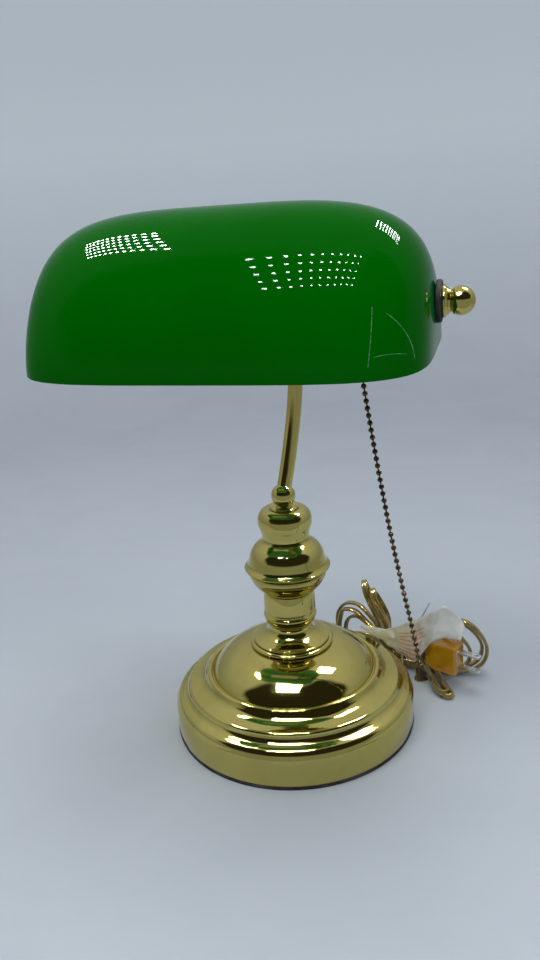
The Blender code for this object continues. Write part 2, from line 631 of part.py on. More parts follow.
TAG_ROWS = [  # along the hank, across it, lower edge, upper edge
    (10, -14, 27, 33), (26, -16, 17, 34), (44, -18, 12, 37), (62, -19.4, 10, 38),
    (72, -19.8, 13, 40), (80, -19.2, 40, 52), (94, -13, 40, 60),
]


def make_tag():
    """The paper tag around the cord, a thin folded sheet."""
    def build(bm):
        rows = []
        for along, across, low, high in TAG_ROWS:
            rows.append([bm.verts.new(hank(along, across, low) * MM),
                         bm.verts.new(hank(along, across, high) * MM)])
        for (a, b), (c, d) in zip(rows, rows[1:]):
            bm.faces.new((a, c, d, b))
    tag = add_object("cord_tag", solid_mesh("cord_tag", build), "paper")
    sheet = tag.modifiers.new("sheet", "SOLIDIFY")
    sheet.thickness = 0.6 * MM
    sheet.offset = 0.0


# ---------------------------------------------------------------- build

make_base()
make_stem()
make_arm()
HEAD = add_axis("swivel_axis", (SWIVEL_X, SWIVEL_Y, 0))
make_bail(HEAD)
make_lampholder(HEAD)
make_switch(HEAD)
make_shade(HEAD)
make_cord()
bpy.context.view_layer.update()
print("pieces:", len([obj for obj in PARTS.objects if obj.type != "EMPTY"]))
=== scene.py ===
# %% [markdown]
# # A banker's desk lamp
# The lamp stands on a stepped brass base. A turned stem carries a crook arm, and a long green
# glass shade tilts between two brass finials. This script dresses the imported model: each cell
# makes one piece or one finish, in metres, around a frame that never moves.

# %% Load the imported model
import json
import math

import bmesh
import bpy
from mathutils import Matrix, Vector, noise


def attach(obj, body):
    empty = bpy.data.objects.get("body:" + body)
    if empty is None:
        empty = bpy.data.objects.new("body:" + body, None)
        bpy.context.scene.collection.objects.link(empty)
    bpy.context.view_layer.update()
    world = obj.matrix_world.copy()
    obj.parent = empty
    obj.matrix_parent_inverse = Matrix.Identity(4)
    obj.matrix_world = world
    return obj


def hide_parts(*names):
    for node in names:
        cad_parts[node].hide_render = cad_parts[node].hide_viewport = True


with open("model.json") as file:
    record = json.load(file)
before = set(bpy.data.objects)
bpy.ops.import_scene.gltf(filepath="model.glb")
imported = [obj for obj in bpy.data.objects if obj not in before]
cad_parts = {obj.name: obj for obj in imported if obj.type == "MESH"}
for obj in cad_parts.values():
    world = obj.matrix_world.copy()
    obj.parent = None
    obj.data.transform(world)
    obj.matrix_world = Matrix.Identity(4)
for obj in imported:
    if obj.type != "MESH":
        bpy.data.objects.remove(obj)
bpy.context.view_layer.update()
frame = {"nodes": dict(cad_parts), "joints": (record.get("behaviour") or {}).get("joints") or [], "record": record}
MM = 0.001
print("nodes in the frame:", len(frame["nodes"]))

# %% [markdown]
# ## Where things are
# The joints say where the lamp turns, so the head's and the shade's places are read from them
# and not typed again. The stem stands on the Z axis.

# %% Places taken from the joints
JOINT = {joint["name"]: joint for joint in frame["joints"]}
SWIVEL = Vector(JOINT["shade_swivel"]["pos_m"])
PIVOT = Vector(JOINT["shade_tilt"]["pos_m"])
PULL_END = Vector(JOINT["chain_swing"]["pos_m"])
SHADE_TILT = math.radians(5.1)
REACH = Vector((SWIVEL.x, SWIVEL.y, 0)).length / MM
BACK = -Vector((SWIVEL.x, SWIVEL.y, 0)).normalized()
print("head turns at", [round(value, 4) for value in SWIVEL], "and is", round(REACH, 1), "mm out")

# %% [markdown]
# ## The camera
# The camera stands a little above the lamp and to its right, and isn't quite level. A camera's
# own axes look down -Z, so it is tipped up to the horizon first, then pitched, turned and rolled.

# %% Set the camera
CAMERA_PLACE = Vector((0.1588, -0.5206, 0.3629))
CAMERA_HEADING = math.radians(17.87)
CAMERA_PITCH = math.radians(17.72)
CAMERA_ROLL = math.radians(-3.66)
CAMERA_LENS = 30.72
camera_data = bpy.data.cameras.new("camera")
camera_data.sensor_fit = "VERTICAL"
camera_data.sensor_height = 36.0
camera_data.lens = CAMERA_LENS
camera_data.clip_start = 0.01
camera = bpy.data.objects.new("camera", camera_data)
bpy.context.scene.collection.objects.link(camera)
camera.matrix_world = (
    Matrix.Translation(CAMERA_PLACE)
    @ Matrix.Rotation(CAMERA_HEADING, 4, "Z")
    @ Matrix.Rotation(math.radians(90) - CAMERA_PITCH, 4, "X")
    @ Matrix.Rotation(CAMERA_ROLL, 4, "Z")
)
bpy.context.scene.camera = camera
print("camera", round(CAMERA_PLACE.length, 3), "m from the base")

# %% [markdown]
# ## Curves to follow
# Both cords and turned outlines are drawn through a few given points. A Catmull-Rom
# curve passes through every one of them, which makes it easy to aim.

# %% A smooth line through points
def through(points, cuts=6):
    """Points on a Catmull-Rom curve through a list of points, `cuts` to each stretch."""
    places = [Vector(point) for point in points]
    places = [2 * places[0] - places[1]] + places + [2 * places[-1] - places[-2]]
    line = []
    for p0, p1, p2, p3 in zip(places, places[1:], places[2:], places[3:]):
        for step in range(cuts):
            t = step / cuts
            line.append(0.5 * (2 * p1 + (p2 - p0) * t + (2 * p0 - 5 * p1 + 4 * p2 - p3) * t ** 2
                               + (3 * p1 - p0 - 3 * p2 + p3) * t ** 3))
    line.append(places[-2])
    return line


def evenly(line, spacing):
    """The same line with its points a fixed distance apart."""
    lengths = [0.0]
    for start, end in zip(line, line[1:]):
        lengths.append(lengths[-1] + (end - start).length)
    count = max(2, round(lengths[-1] / spacing))
    points, index = [], 0
    for step in range(count + 1):
        wanted = lengths[-1] * step / count
        while index < len(line) - 2 and lengths[index + 1] < wanted:
            index += 1
        span = max(lengths[index + 1] - lengths[index], 1e-9)
        points.append(line[index].lerp(line[index + 1], (wanted - lengths[index]) / span))
    return points


def length_of(line):
    return sum((end - start).length for start, end in zip(line, line[1:]))


# %% [markdown]
# ## Node helpers
# Materials are built from the same few moves: add a node, set its values, and join two sockets.

# %% Node helpers
def join(tree, source, socket):
    """Join a socket to this one, or set this one to a plain value."""
    if isinstance(source, bpy.types.NodeSocket):
        tree.links.new(source, socket)
    else:
        socket.default_value = source


def add(tree, kind, **values):
    """Add a node. A value goes to the property, or else to the input socket, of its name."""
    made = tree.nodes.new(kind)
    for name, value in values.items():
        if hasattr(made, name):
            setattr(made, name, value)
        else:
            join(tree, value, made.inputs[name.replace("_", " ")])
    return made


def worked(tree, operation, *values, kind="ShaderNodeMath"):
    """The output of a Math node with these values or sockets."""
    made = add(tree, kind, operation=operation)
    for socket, value in zip(made.inputs, values):
        join(tree, value, socket)
    return made.outputs["Value" if operation == "LENGTH" else 0]


def product(tree, mask, *others):
    for other in others:
        mask = worked(tree, "MULTIPLY", mask, other)
    return mask


def split(tree, vector):
    """The X, Y and Z sockets of a vector."""
    made = add(tree, "ShaderNodeSeparateXYZ")
    join(tree, vector, made.inputs[0])
    return made.outputs


def mix_colours(tree, factor, first, second):
    made = add(tree, "ShaderNodeMix", data_type="RGBA")
    for index, value in zip((0, 6, 7), (factor, first, second)):
        join(tree, value, made.inputs[index])
    return made.outputs[2]


def remap(tree, value, low, high, to_low, to_high):
    made = add(tree, "ShaderNodeMapRange", clamp=True)
    for socket, number in zip(made.inputs, (value, low, high, to_low, to_high)):
        join(tree, number, socket)
    return made.outputs[0]


# %% [markdown]
# ## Wear that every finish shares
# Handled things carry soft smudges, a scatter of fine hairline scratches and a little dust. One
# node group makes all three masks from Object coordinates, and each material decides how much
# of each it shows. Smudges are broad noise. Scratches are the thin lines between the cells of a
# stretched Voronoi pattern, kept only in patches, as real scratches come in groups.

# %% The shared wear group
def wear_group():
    group = bpy.data.node_groups.new("handled_wear", "ShaderNodeTree")
    sides = group.interface
    sides.new_socket("Vector", in_out="INPUT", socket_type="NodeSocketVector")
    for name, value in (("Smudge Scale", 40.0), ("Scratch Scale", 90.0), ("Grain Scale", 900.0)):
        socket = sides.new_socket(name, in_out="INPUT", socket_type="NodeSocketFloat")
        socket.default_value = value
    for name in ("Smudge", "Scratch", "Grain"):
        sides.new_socket(name, in_out="OUTPUT", socket_type="NodeSocketFloat")
    given = add(group, "NodeGroupInput").outputs
    out = add(group, "NodeGroupOutput")

    smudge = add(group, "ShaderNodeTexNoise", Vector=given["Vector"], Detail=4.0,
                 Scale=given["Smudge Scale"], Roughness=0.6, Distortion=0.6)
    join(group, remap(group, smudge.outputs["Fac"], 0.42, 0.68, 0.0, 1.0), out.inputs["Smudge"])

    bent = add(group, "ShaderNodeTexNoise", Vector=given["Vector"], Scale=14.0, Detail=1.0)
    stretch = add(group, "ShaderNodeMapping", Vector=given["Vector"], Scale=(1.0, 0.35, 0.22),
                  Rotation=(0.4, 0.7, 0.2))
    shift = worked(group, "MULTIPLY_ADD", bent.outputs["Color"], (0.012, 0.012, 0.012),
                   stretch.outputs[0], kind="ShaderNodeVectorMath")
    cells = add(group, "ShaderNodeTexVoronoi", feature="DISTANCE_TO_EDGE", Vector=shift,
                Scale=given["Scratch Scale"])
    line = remap(group, cells.outputs["Distance"], 0.0, 0.012, 1.0, 0.0)
    patch = remap(group, bent.outputs["Fac"], 0.52, 0.62, 0.0, 1.0)
    join(group, product(group, line, patch), out.inputs["Scratch"])

    grain = add(group, "ShaderNodeTexNoise", Vector=given["Vector"], Scale=given["Grain Scale"],
                Detail=3.0, Roughness=0.65)
    join(group, grain.outputs["Fac"], out.inputs["Grain"])
    return group


WEAR = wear_group()
print("wear masks:", [item.name for item in WEAR.interface.items_tree if item.in_out == "OUTPUT"])

# %% [markdown]
# ## A finish with wear
# Most of the lamp's finishes differ only in colour, gloss and how strongly each mask shows, so
# one function makes them all. The shader itself stays in the material, and its uniform values
# are set straight on its sockets.

# %% The finish function
def finish(name, colour, worn, rough, smudged, metallic=0.0, scratch=0.15, bump=0.02,
           grain_scale=900.0, smudge_scale=40.0, scratch_scale=90.0, **sockets):
    """A Principled material. colour and worn are linear RGB, rough and smudged are roughness."""
    material = bpy.data.materials.new(name)
    material.use_nodes = True
    tree = material.node_tree
    shader = tree.nodes["Principled BSDF"]
    place = add(tree, "ShaderNodeTexCoord").outputs["Object"]
    wear = add(tree, "ShaderNodeGroup", node_tree=WEAR, Vector=place, Grain_Scale=grain_scale,
               Smudge_Scale=smudge_scale, Scratch_Scale=scratch_scale).outputs
    base = mix_colours(tree, wear["Smudge"], (*colour, 1.0), (*worn, 1.0))
    join(tree, base, shader.inputs["Base Color"])
    gloss = remap(tree, wear["Smudge"], 0.0, 1.0, rough, smudged)
    join(tree, worked(tree, "MULTIPLY_ADD", wear["Scratch"], scratch, gloss),
         shader.inputs["Roughness"])
    relief = add(tree, "ShaderNodeBump", Strength=1.0, Distance=bump * MM, Height=wear["Grain"])
    join(tree, relief.outputs["Normal"], shader.inputs["Normal"])
    shader.inputs["Metallic"].default_value = metallic
    for socket, value in sockets.items():
        shader.inputs[socket.replace("_", " ")].default_value = value
    return material


def overlay(material, mask, colour):
    """Lay a colour over the material's own where the mask is 1."""
    tree = material.node_tree
    base = tree.nodes["Principled BSDF"].inputs["Base Color"]
    join(tree, mix_colours(tree, mask, base.links[0].from_socket, (*colour, 1.0)), base)


FINISH = {  # by the finish slots of the record
    "polished_brass": finish("polished_brass", (0.55, 0.47, 0.145), (0.49, 0.41, 0.12), 0.045,
                             0.10, 1.0, bump=0.006, smudge_scale=28.0),
    "aged_brass": finish("plain_brass", (0.52, 0.43, 0.16), (0.36, 0.28, 0.11), 0.24, 0.42, 1.0,
                         bump=0.03),
    "dark_bronze": finish("dark_bronze", (0.075, 0.052, 0.030), (0.20, 0.14, 0.07), 0.24, 0.38,
                          1.0, bump=0.02, smudge_scale=180.0),
    "zinc_steel": finish("zinc_steel", (0.62, 0.63, 0.65), (0.48, 0.48, 0.46), 0.22, 0.40, 1.0,
                         bump=0.02),
    "cast_iron": finish("cast_iron", (0.10, 0.10, 0.10), (0.16, 0.11, 0.08), 0.60, 0.80, 0.6,
                        bump=0.35, grain_scale=500.0),
    "aluminium": finish("rolled_aluminium", (0.82, 0.82, 0.84), (0.66, 0.66, 0.67), 0.22, 0.38,
                        1.0),
    "black_rubber": finish("black_rubber", (0.012, 0.012, 0.012), (0.05, 0.05, 0.048), 0.55,
                           0.75, bump=0.08, grain_scale=1500.0, Specular_IOR_Level=0.15),
    "phenolic": finish("phenolic", (0.02, 0.018, 0.017), (0.05, 0.045, 0.04), 0.30, 0.50,
                       bump=0.03),
    "liner_board": finish("fibre_board", (0.40, 0.31, 0.20), (0.30, 0.22, 0.14), 0.80, 0.92,
                          bump=0.15, grain_scale=700.0),
    "felt": finish("green_felt", (0.02, 0.07, 0.04), (0.035, 0.10, 0.06), 0.92, 1.0, bump=0.5,
                   grain_scale=1800.0, Sheen_Weight=0.6),
    "bulb_glass": finish("pearl_bulb", (0.90, 0.90, 0.87), (0.84, 0.84, 0.80), 0.16, 0.26,
                         bump=0.005, Coat_Weight=0.4),
}
print("finishes so far:", len(bpy.data.materials))

# %% [markdown]
# ## Cased glass
# The shade is opal glass with a skin of green over it, so it looks deep and even. Its milky
# inside is painted pale green, painted light that stands in for the light coming through the skin.
# Polished glass needs only its own sharp reflection, so it has no coat. Where the eye meets the
# glass at a low angle, a Layer Weight mask lays a brighter, bluer green on its colour: a painted
# sheen. Three fine scratches are arcs of circles, seen from the front: a point lies on one when
# its distance from the centre is the radius. The wear group's grain breaks them up.

# %% The shade's two faces
SCRATCHES = [  # centre x, centre z and radius of an arc, and the heights it runs between
    (-117.2, 309.0, 200.0, 286.0, 316.0), (70.1, 285.2, 33.5, 287.5, 312.5),
    (92.0, 262.0, 30.0, 290.9, 292.3)]
SCRATCH_END = 0.4


def scratch_mask(tree):
    wear = next(node for node in tree.nodes if node.type == "GROUP")
    place = tree.nodes["Texture Coordinate"].outputs["Object"]
    across, back, height = split(tree, place)
    front = remap(tree, back, -0.070, -0.060, 1.0, 0.0)
    right = remap(tree, across, 0.076, 0.078, 0.0, 1.0)
    broken = remap(tree, wear.outputs["Grain"], 0.40, 0.60, 0.2, 1.0)
    mask = 0.0
    for x, z, radius, low, high in SCRATCHES:
        offset = worked(tree, "MULTIPLY_ADD", place, (1.0, 0.0, 1.0), (-x * MM, 0.0, -z * MM),
                        kind="ShaderNodeVectorMath")
        length = worked(tree, "LENGTH", offset, kind="ShaderNodeVectorMath")
        away = worked(tree, "ABSOLUTE", worked(tree, "SUBTRACT", length, radius * MM))
        line = product(
            tree, remap(tree, away, 0.0, 0.3 * MM, 1.0, 0.0), front, right, broken,
            remap(tree, height, low * MM, (low + SCRATCH_END) * MM, 0.0, 1.0),
            remap(tree, height, (high - SCRATCH_END) * MM, high * MM, 1.0, 0.0))
        mask = worked(tree, "MAXIMUM", mask, line)
    return remap(tree, mask, 0.0, 1.0, 0.0, 0.6)


def cased_green():
    material = finish("cased_green_glass", (0.0, 0.080, 0.0004), (0.0, 0.090, 0.0006), 0.02,
                      0.03, scratch=0.0, bump=0.001, smudge_scale=9.0, scratch_scale=22.0,
                      IOR=1.5, Specular_IOR_Level=0.05)
    tree = material.node_tree
    # Painted sheen: a brighter, bluer green laid on the glass's colour where it is seen at a low angle.
    painted_sheen_weight = add(tree, "ShaderNodeLayerWeight", Blend=0.30)
    overlay(material, remap(tree, painted_sheen_weight.outputs["Facing"], 0.45, 0.90, 0.0, 1.0),
            (0.0, 0.100, 0.036))
    overlay(material, scratch_mask(tree), (0.20, 0.44, 0.26))
    return material


FINISH["green_glass"] = cased_green()
# Painted light: the milky opal inside is painted pale green for the light that comes through the green skin.
OPAL_GLASS = finish("opal_glass", (0.22, 0.66, 0.26), (0.18, 0.60, 0.22), 0.18, 0.26, bump=0.01,
                    smudge_scale=16.0, Coat_Weight=0.3)

# %% [markdown]
# ## Cord, plug and paper
# The cord's insulation is clear gold, with a fine spiral of copper strands showing through each
# of its two ribs. Its UV map runs round the cord in U and along it in V, in millimetres, so a
# slanted wave in UV is a spiral. The plug is amber and lets some light in. The paper tag has
# rules in place of print.

# %% Gold cord
def gold_cord():
    material = finish("gold_cord", (0.30, 0.215, 0.045), (0.16, 0.11, 0.022), 0.14, 0.24, 0.70,
                      bump=0.01, smudge_scale=120.0, Coat_Weight=0.8, Coat_Roughness=0.05)
    tree = material.node_tree
    uv = add(tree, "ShaderNodeUVMap", uv_map="along_cord")
    strands = add(tree, "ShaderNodeTexWave", Vector=uv.outputs[0], Scale=0.9, Distortion=0.6,
                  bands_direction="DIAGONAL")
    overlay(material, remap(tree, strands.outputs["Fac"], 0.25, 0.9, 0.0, 0.45),
            (0.50, 0.38, 0.13))
    return material


def tag_paper():
    material = finish("tag_paper", (0.56, 0.56, 0.53), (0.44, 0.43, 0.40), 0.42, 0.60,
                      bump=0.05, smudge_scale=70.0)
    tree = material.node_tree
    along, up, _ = split(tree, add(tree, "ShaderNodeUVMap", uv_map="on_tag").outputs[0])
    rows = worked(tree, "PINGPONG", up, 0.055)
    rules = product(tree, remap(tree, rows, 0.030, 0.034, 0.0, 1.0),
                    remap(tree, along, 0.36, 0.37, 0.0, 1.0),
                    remap(tree, along, 0.60, 0.61, 1.0, 0.0),
                    remap(tree, up, 0.80, 0.81, 1.0, 0.0))
    overlay(material, remap(tree, rules, 0.0, 1.0, 0.0, 0.6), (0.62, 0.10, 0.07))
    return material


FINISH["gold_cord"] = gold_cord()
FINISH["amber_plug"] = finish(
    "amber_plug", (0.60, 0.30, 0.004), (0.46, 0.21, 0.003), 0.08, 0.18, bump=0.02,
    smudge_scale=90.0, Coat_Weight=0.3, IOR=1.5, Transmission_Weight=0.55)
FINISH["paper"] = tag_paper()
TIE_COAT = finish("tie_coating", (0.55, 0.56, 0.57), (0.42, 0.43, 0.44), 0.35, 0.5, bump=0.03)
print("finishes:", len(bpy.data.materials))

# %% [markdown]
# ## Putting a piece in the frame
# Every new piece is a mesh whose place is in its vertices. It rides on a body, names the finish
# slot it takes, and stands for the plain CAD node that it replaces.

# %% Piece helpers
def loose(name, data):
    obj = bpy.data.objects.new(name, data)
    bpy.context.scene.collection.objects.link(obj)
    return obj


def mesh_from(bm, name, matrix=Matrix(), sharp=38.0):
    bmesh.ops.remove_doubles(bm, verts=bm.verts, dist=0.000002)
    bmesh.ops.recalc_face_normals(bm, faces=bm.faces)
    bm.transform(matrix)
    mesh = bpy.data.meshes.new(name)
    bm.to_mesh(mesh)
    bm.free()
    mesh.shade_smooth()
    mesh.set_sharp_from_angle(angle=math.radians(sharp))
    return mesh


def piece(name, mesh, body, slot, *nodes):
    """A new piece on a body. It takes its slot's finish, unless its mesh has one already."""
    obj = loose(name, mesh)
    if not mesh.materials:
        mesh.materials.append(FINISH[slot])
    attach(obj, body)
    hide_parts(*nodes)
    return obj


def modify(obj, kind, **values):
    modifier = obj.modifiers.new(kind.lower(), kind)
    for name, value in values.items():
        setattr(modifier, name, value)


def baked(obj):
    """The mesh that an object's modifiers make, as plain data. The object is removed."""
    bpy.context.view_layer.update()
    mesh = bpy.data.meshes.new_from_object(
        obj.evaluated_get(bpy.context.evaluated_depsgraph_get()))
    bpy.data.objects.remove(obj, do_unlink=True)
    return mesh


def drill(name, radius, length, segments, matrix):
    """A cylinder to cut a hole with."""
    bm = bmesh.new()
    bmesh.ops.create_cone(bm, cap_ends=True, segments=segments, radius1=radius * MM,
                          radius2=radius * MM, depth=length * MM, matrix=matrix)
    return loose(name, mesh_from(bm, name))


# %% [markdown]
# ## The cord's route
# The cord leaves the back of the base, lies on the table behind it and runs into a hank that
# a wire tie holds at its middle. From there it goes back and forth: to the left it makes two
# arches, a smaller arch and two tall bights, and to the right it makes standing loops and low
# bights on the table. It ends in the plug. Places in the hank are (along, across, up) in
# millimetres, so the whole bundle can be turned as one.

# %% The hank's own directions
HANK_ANGLE = math.radians(-19.0)
HANK_START = Vector((20.0, 104.0, 0.0))
HANK_ALONG = Vector((math.cos(HANK_ANGLE), math.sin(HANK_ANGLE), 0.0))
HANK_BACK = Vector((-HANK_ALONG.y, HANK_ALONG.x, 0.0))
EXIT = Vector((-0.15, 0.9887, 0.0))
BUSHING_Z = 7.6
CORD_WIDTH = 5.2
CORD_THICK = 2.7


def hank(along, across, height):
    return HANK_START + HANK_ALONG * along + HANK_BACK * across + Vector((0, 0, height))


def exit_way(distance, height):
    return Vector((EXIT.x * distance, EXIT.y * distance, height))


# %% The route in words of bights and passes
TIE_ALONG = 56.0


def tie_slot(number):
    """Where pass `number` goes through the tie: two columns, side by side, from the table up."""
    row, column = divmod(number, 2)
    return -2.9 + 5.8 * column, 4.2 + 2.95 * row


def crossing(number, rightwards):
    across, height = tie_slot(number)
    points = [hank(42, across, height), hank(TIE_ALONG, across, height),
              hank(70, across, height)]
    return points if rightwards else points[::-1]


SIGHT_SKEW = 0.566   # strands shifted along the hank by this share of their distance across it


def big_arch(grow, shift):
    return [hank(30, 2 + shift, 8), hank(12, 1 + shift, 5.5), hank(-4, 2 + shift, 8),
            hank(-12 - grow, 4 + shift, 18), hank(-12 - grow, 5 + shift, 31 + grow),
            hank(-4, 5 + shift, 41 + grow), hank(8, 5 + shift, 42.5 + grow),
            hank(20, 4 + shift, 35 + grow), hank(31, 2 + shift, 25)]


def small_arch(shift):
    return [hank(31, 1 + shift, 22), hank(20, 2 + shift, 29), hank(9, 3 + shift, 33),
            hank(0, 3 + shift, 29), hank(-3, 2 + shift, 19), hank(3, 1 + shift, 10),
            hank(16, shift, 6), hank(30, shift, 7)]


def tall_bight(lean, top, near, far):
    """A bight that stands up behind the stem, its two strands one behind the other."""
    def strand(along, across, height):
        return hank(along + lean - SIGHT_SKEW * across, across, height)

    middle = (near + far) / 2
    return [hank(37.5, near / 2, 22), strand(31, near, 37), strand(23, near, 51),
            strand(18.4, near * 0.8, top - 6), strand(17.2, middle, top),
            strand(18.4, far * 0.9, top - 6), strand(23, far, 51), strand(31, far * 0.8, 37),
            hank(37.5, far / 2, 22)]


def standing_loop(size, back):
    """A loop to the right of the tie, standing on the table and leaning back."""
    reach, rise = 62 * size, 49 * size
    return [hank(80, 1 + back, 20), hank(56 + reach * 0.50, 4 + back, rise * 0.86),
            hank(56 + reach * 0.72, 8 + back, rise),
            hank(56 + reach * 0.90, 13 + back, rise * 0.84),
            hank(56 + reach, 18 + back, rise * 0.52),
            hank(56 + reach * 0.95, 17 + back, rise * 0.22),
            hank(56 + reach * 0.78, 10 + back, 4.0), hank(56 + reach * 0.55, 1 + back, 3.4),
            hank(78, -3 + back / 2, 5.4)]


def low_bight(reach, rise):
    """A fold on the table, out to the front right and straight back."""
    return [hank(77, -6.5, 7), hank(86, -14.5, rise + 1), hank(95 + reach, -22.5, rise),
            hank(102 + reach, -28.6, rise), hank(105.6 + reach, -30.0, rise),
            hank(108.0 + reach, -28.0, rise), hank(107.4 + reach, -24.4, rise),
            hank(101 + reach, -18.6, rise), hank(90, -9.6, rise + 1), hank(78, -1.6, 7)]


def cord_route():
    route = [exit_way(86.5, BUSHING_Z), exit_way(92, BUSHING_Z), exit_way(99, 7.0),
             exit_way(109, 3.4), Vector((-5, 120, 1.8)), Vector((14, 127, 1.8)),
             Vector((34, 127, 1.8)), hank(29, 18, 1.8), hank(36, 8, 2.4)]
    lefts = [big_arch(0, 0), tall_bight(0, 67, -5, 10), big_arch(-4, -5), small_arch(-1),
             tall_bight(8, 63, -8, 7)]
    rights = [low_bight(0, 2.8), standing_loop(1.0, 0), low_bight(-4.5, 4.4),
              standing_loop(0.90, 5), standing_loop(0.80, -4)]
    number = 0
    for left, right in zip(lefts, rights):
        route += crossing(number, True) + right[::-1]
        route += crossing(number + 1, False) + left
        number += 2
    route += crossing(number, True) + [hank(76, -7, 24), hank(82, -9, 25)]
    return route


CORD_LINE = [point * MM for point in evenly(through(cord_route(), 10), 1.6)]

# %% [markdown]
# ## The cord itself
# A flat twin cord is two round ribs side by side, joined at a waist. The section is swept along
# the route with a frame that is carried along without twisting. At each bend it also settles a
# little, until the cord bends over its thin side, as a real flat cord does.

# %% Sweep a section along a line
def carried_frames(line, first_side, settling=0.0):
    """A side and a normal for each point of a line, carried along it without twist.

    With settling above 0 the section turns, little by little, until it bends over its thin side.
    """
    frames = []
    side = Vector(first_side)
    for index, point in enumerate(line):
        before = line[max(index - 1, 0)]
        after = line[min(index + 1, len(line) - 1)]
        ahead = (after - before).normalized()
        if settling:
            far_before = line[max(index - 4, 0)]
            far_after = line[min(index + 4, len(line) - 1)]
            across_bend = (point - far_before).normalized().cross((far_after - point).normalized())
            turn = across_bend.length
            if turn > 0.0001:
                if across_bend.dot(side) < 0:
                    across_bend = -across_bend
                side += across_bend.normalized() * (1 - math.exp(-turn * settling))
        side = (side - ahead * side.dot(ahead)).normalized()
        frames.append((side.copy(), ahead.cross(side)))
    return frames


def swept(line, section, first_side, uv_name=None, settling=0.0):
    """A closed tube with the given section of (side, normal) offsets, in metres."""
    bm = bmesh.new()
    uv_layer = bm.loops.layers.uv.new(uv_name) if uv_name else None
    rings = []
    for point, (side, normal) in zip(line, carried_frames(line, first_side, settling)):
        ring = [point + side * a + normal * b for a, b in section]
        rings.append([bm.verts.new((v.x, v.y, max(v.z, 0.1 * MM))) for v in ring])
    count = len(section)
    run = 0.0
    for index in range(len(rings) - 1):
        step = (line[index + 1] - line[index]).length / MM
        for k in range(count):
            corners = (rings[index][k], rings[index][(k + 1) % count],
                       rings[index + 1][(k + 1) % count], rings[index + 1][k])
            face = bm.faces.new(corners)
            if uv_layer:
                around = (k / count * 12, (k + 1) / count * 12)
                for loop, uv in zip(face.loops, ((around[0], run), (around[1], run),
                                                 (around[1], run + step), (around[0], run + step))):
                    loop[uv_layer].uv = uv
        run += step
    bm.faces.new(rings[0][::-1])
    bm.faces.new(rings[-1])
    return bm


def round_section(radius, degrees):
    return [(radius * MM * math.cos(math.radians(a)), radius * MM * math.sin(math.radians(a)))
            for a in range(0, 360, degrees)]


def twin_section(width, thick, sides=8):
    """Two round ribs joined at a waist."""
    rib = thick / 2
    centre = width / 2 - rib
    points = []
    for middle, start in ((centre, -130), (-centre, 50)):
        for k in range(sides):
            angle = math.radians(start + 260 * k / (sides - 1))
            points.append(((middle + rib * math.cos(angle)) * MM, rib * math.sin(angle) * MM))
    return points


cord_mesh = mesh_from(swept(CORD_LINE, twin_section(CORD_WIDTH, CORD_THICK), (1, 0, 0),
                            "along_cord", 0.5), "mains_cord", sharp=60.0)
mains_cord = piece("mains_cord", cord_mesh, "stand", "gold_cord", "cord_tail", "cord_hank",
                   "cord_arch", "cord_bights", "cord_low_bight", "cord_loops")
print("cord triangles", 2 * len(cord_mesh.polygons))

# %% [markdown]
# ## The plug
# A flat moulded plug has a grip that narrows towards the cord. It starts as a box, is pinched at
# the cord's end, and a bevel rounds every edge. The two blades are flat brass strips with a hole
# near the tip.

# %% Plug and blades
PLUG_LENGTH, PLUG_WIDE, PLUG_THICK = 27.0, 24.0, 17.0
TO_PLUG = Matrix.Translation(hank(93, -9, 25) * MM) @ Matrix.Rotation(HANK_ANGLE, 4, "Z")


def plug_mesh():
    bm = bmesh.new()
    bmesh.ops.create_cube(bm, size=1.0)
    bmesh.ops.scale(bm, vec=Vector((PLUG_LENGTH, PLUG_THICK, PLUG_WIDE)) * MM, verts=bm.verts)
    bmesh.ops.subdivide_edges(bm, edges=bm.edges[:], cuts=5, use_grid_fill=True)
    for vert in bm.verts:
        t = vert.co.x / (PLUG_LENGTH * MM) + 0.5
        grip = 1.0 - 0.34 * max(0.0, 0.42 - t) / 0.42 - 0.10 * math.exp(-((t - 0.55) / 0.16) ** 2)
        vert.co.y *= grip
        vert.co.z *= 1.0 - 0.30 * max(0.0, 0.30 - t) / 0.30
    plug = loose("plug_shape", mesh_from(bm, "plug_shape"))
    modify(plug, "BEVEL", width=2.2 * MM, segments=3, limit_method="ANGLE",
           angle_limit=math.radians(50))
    mesh = baked(plug)
    mesh.transform(TO_PLUG)
    mesh.shade_smooth()
    return mesh


def blade_mesh(height):
    bm = bmesh.new()
    bmesh.ops.create_cube(bm, size=1.0)
    bmesh.ops.scale(bm, vec=Vector((17.0, 6.3, 1.5)) * MM, verts=bm.verts)
    tip = [edge for edge in bm.edges if all(vert.co.x > 0 for vert in edge.verts)
           and abs(edge.verts[0].co.z - edge.verts[1].co.z) > 0.5 * MM]
    bmesh.ops.bevel(bm, geom=tip, offset=2.0 * MM, segments=5, profile=0.5, affect="EDGES")
    blade = loose("blade_shape", mesh_from(bm, "blade_shape"))
    hole = drill("blade_hole", 1.6, 6, 20, Matrix.Translation((4.6 * MM, 0, 0)))
    modify(blade, "BOOLEAN", object=hole)
    modify(blade, "BEVEL", width=0.25 * MM, segments=2)
    mesh = baked(blade)
    bpy.data.objects.remove(hole, do_unlink=True)
    mesh.transform(TO_PLUG @ Matrix.Translation(Vector((22.0, 0, height)) * MM))
    mesh.shade_smooth()
    mesh.set_sharp_from_angle(angle=math.radians(40))
    return mesh


plug = piece("plug", plug_mesh(), "stand", "amber_plug", "plug_body")
blades = [piece("blade_" + name, blade_mesh(height), "stand", "zinc_steel", "plug_blade_" + name)
          for name, height in (("upper", 6.35), ("lower", -6.35))]
print("plug faces", len(plug.data.polygons))
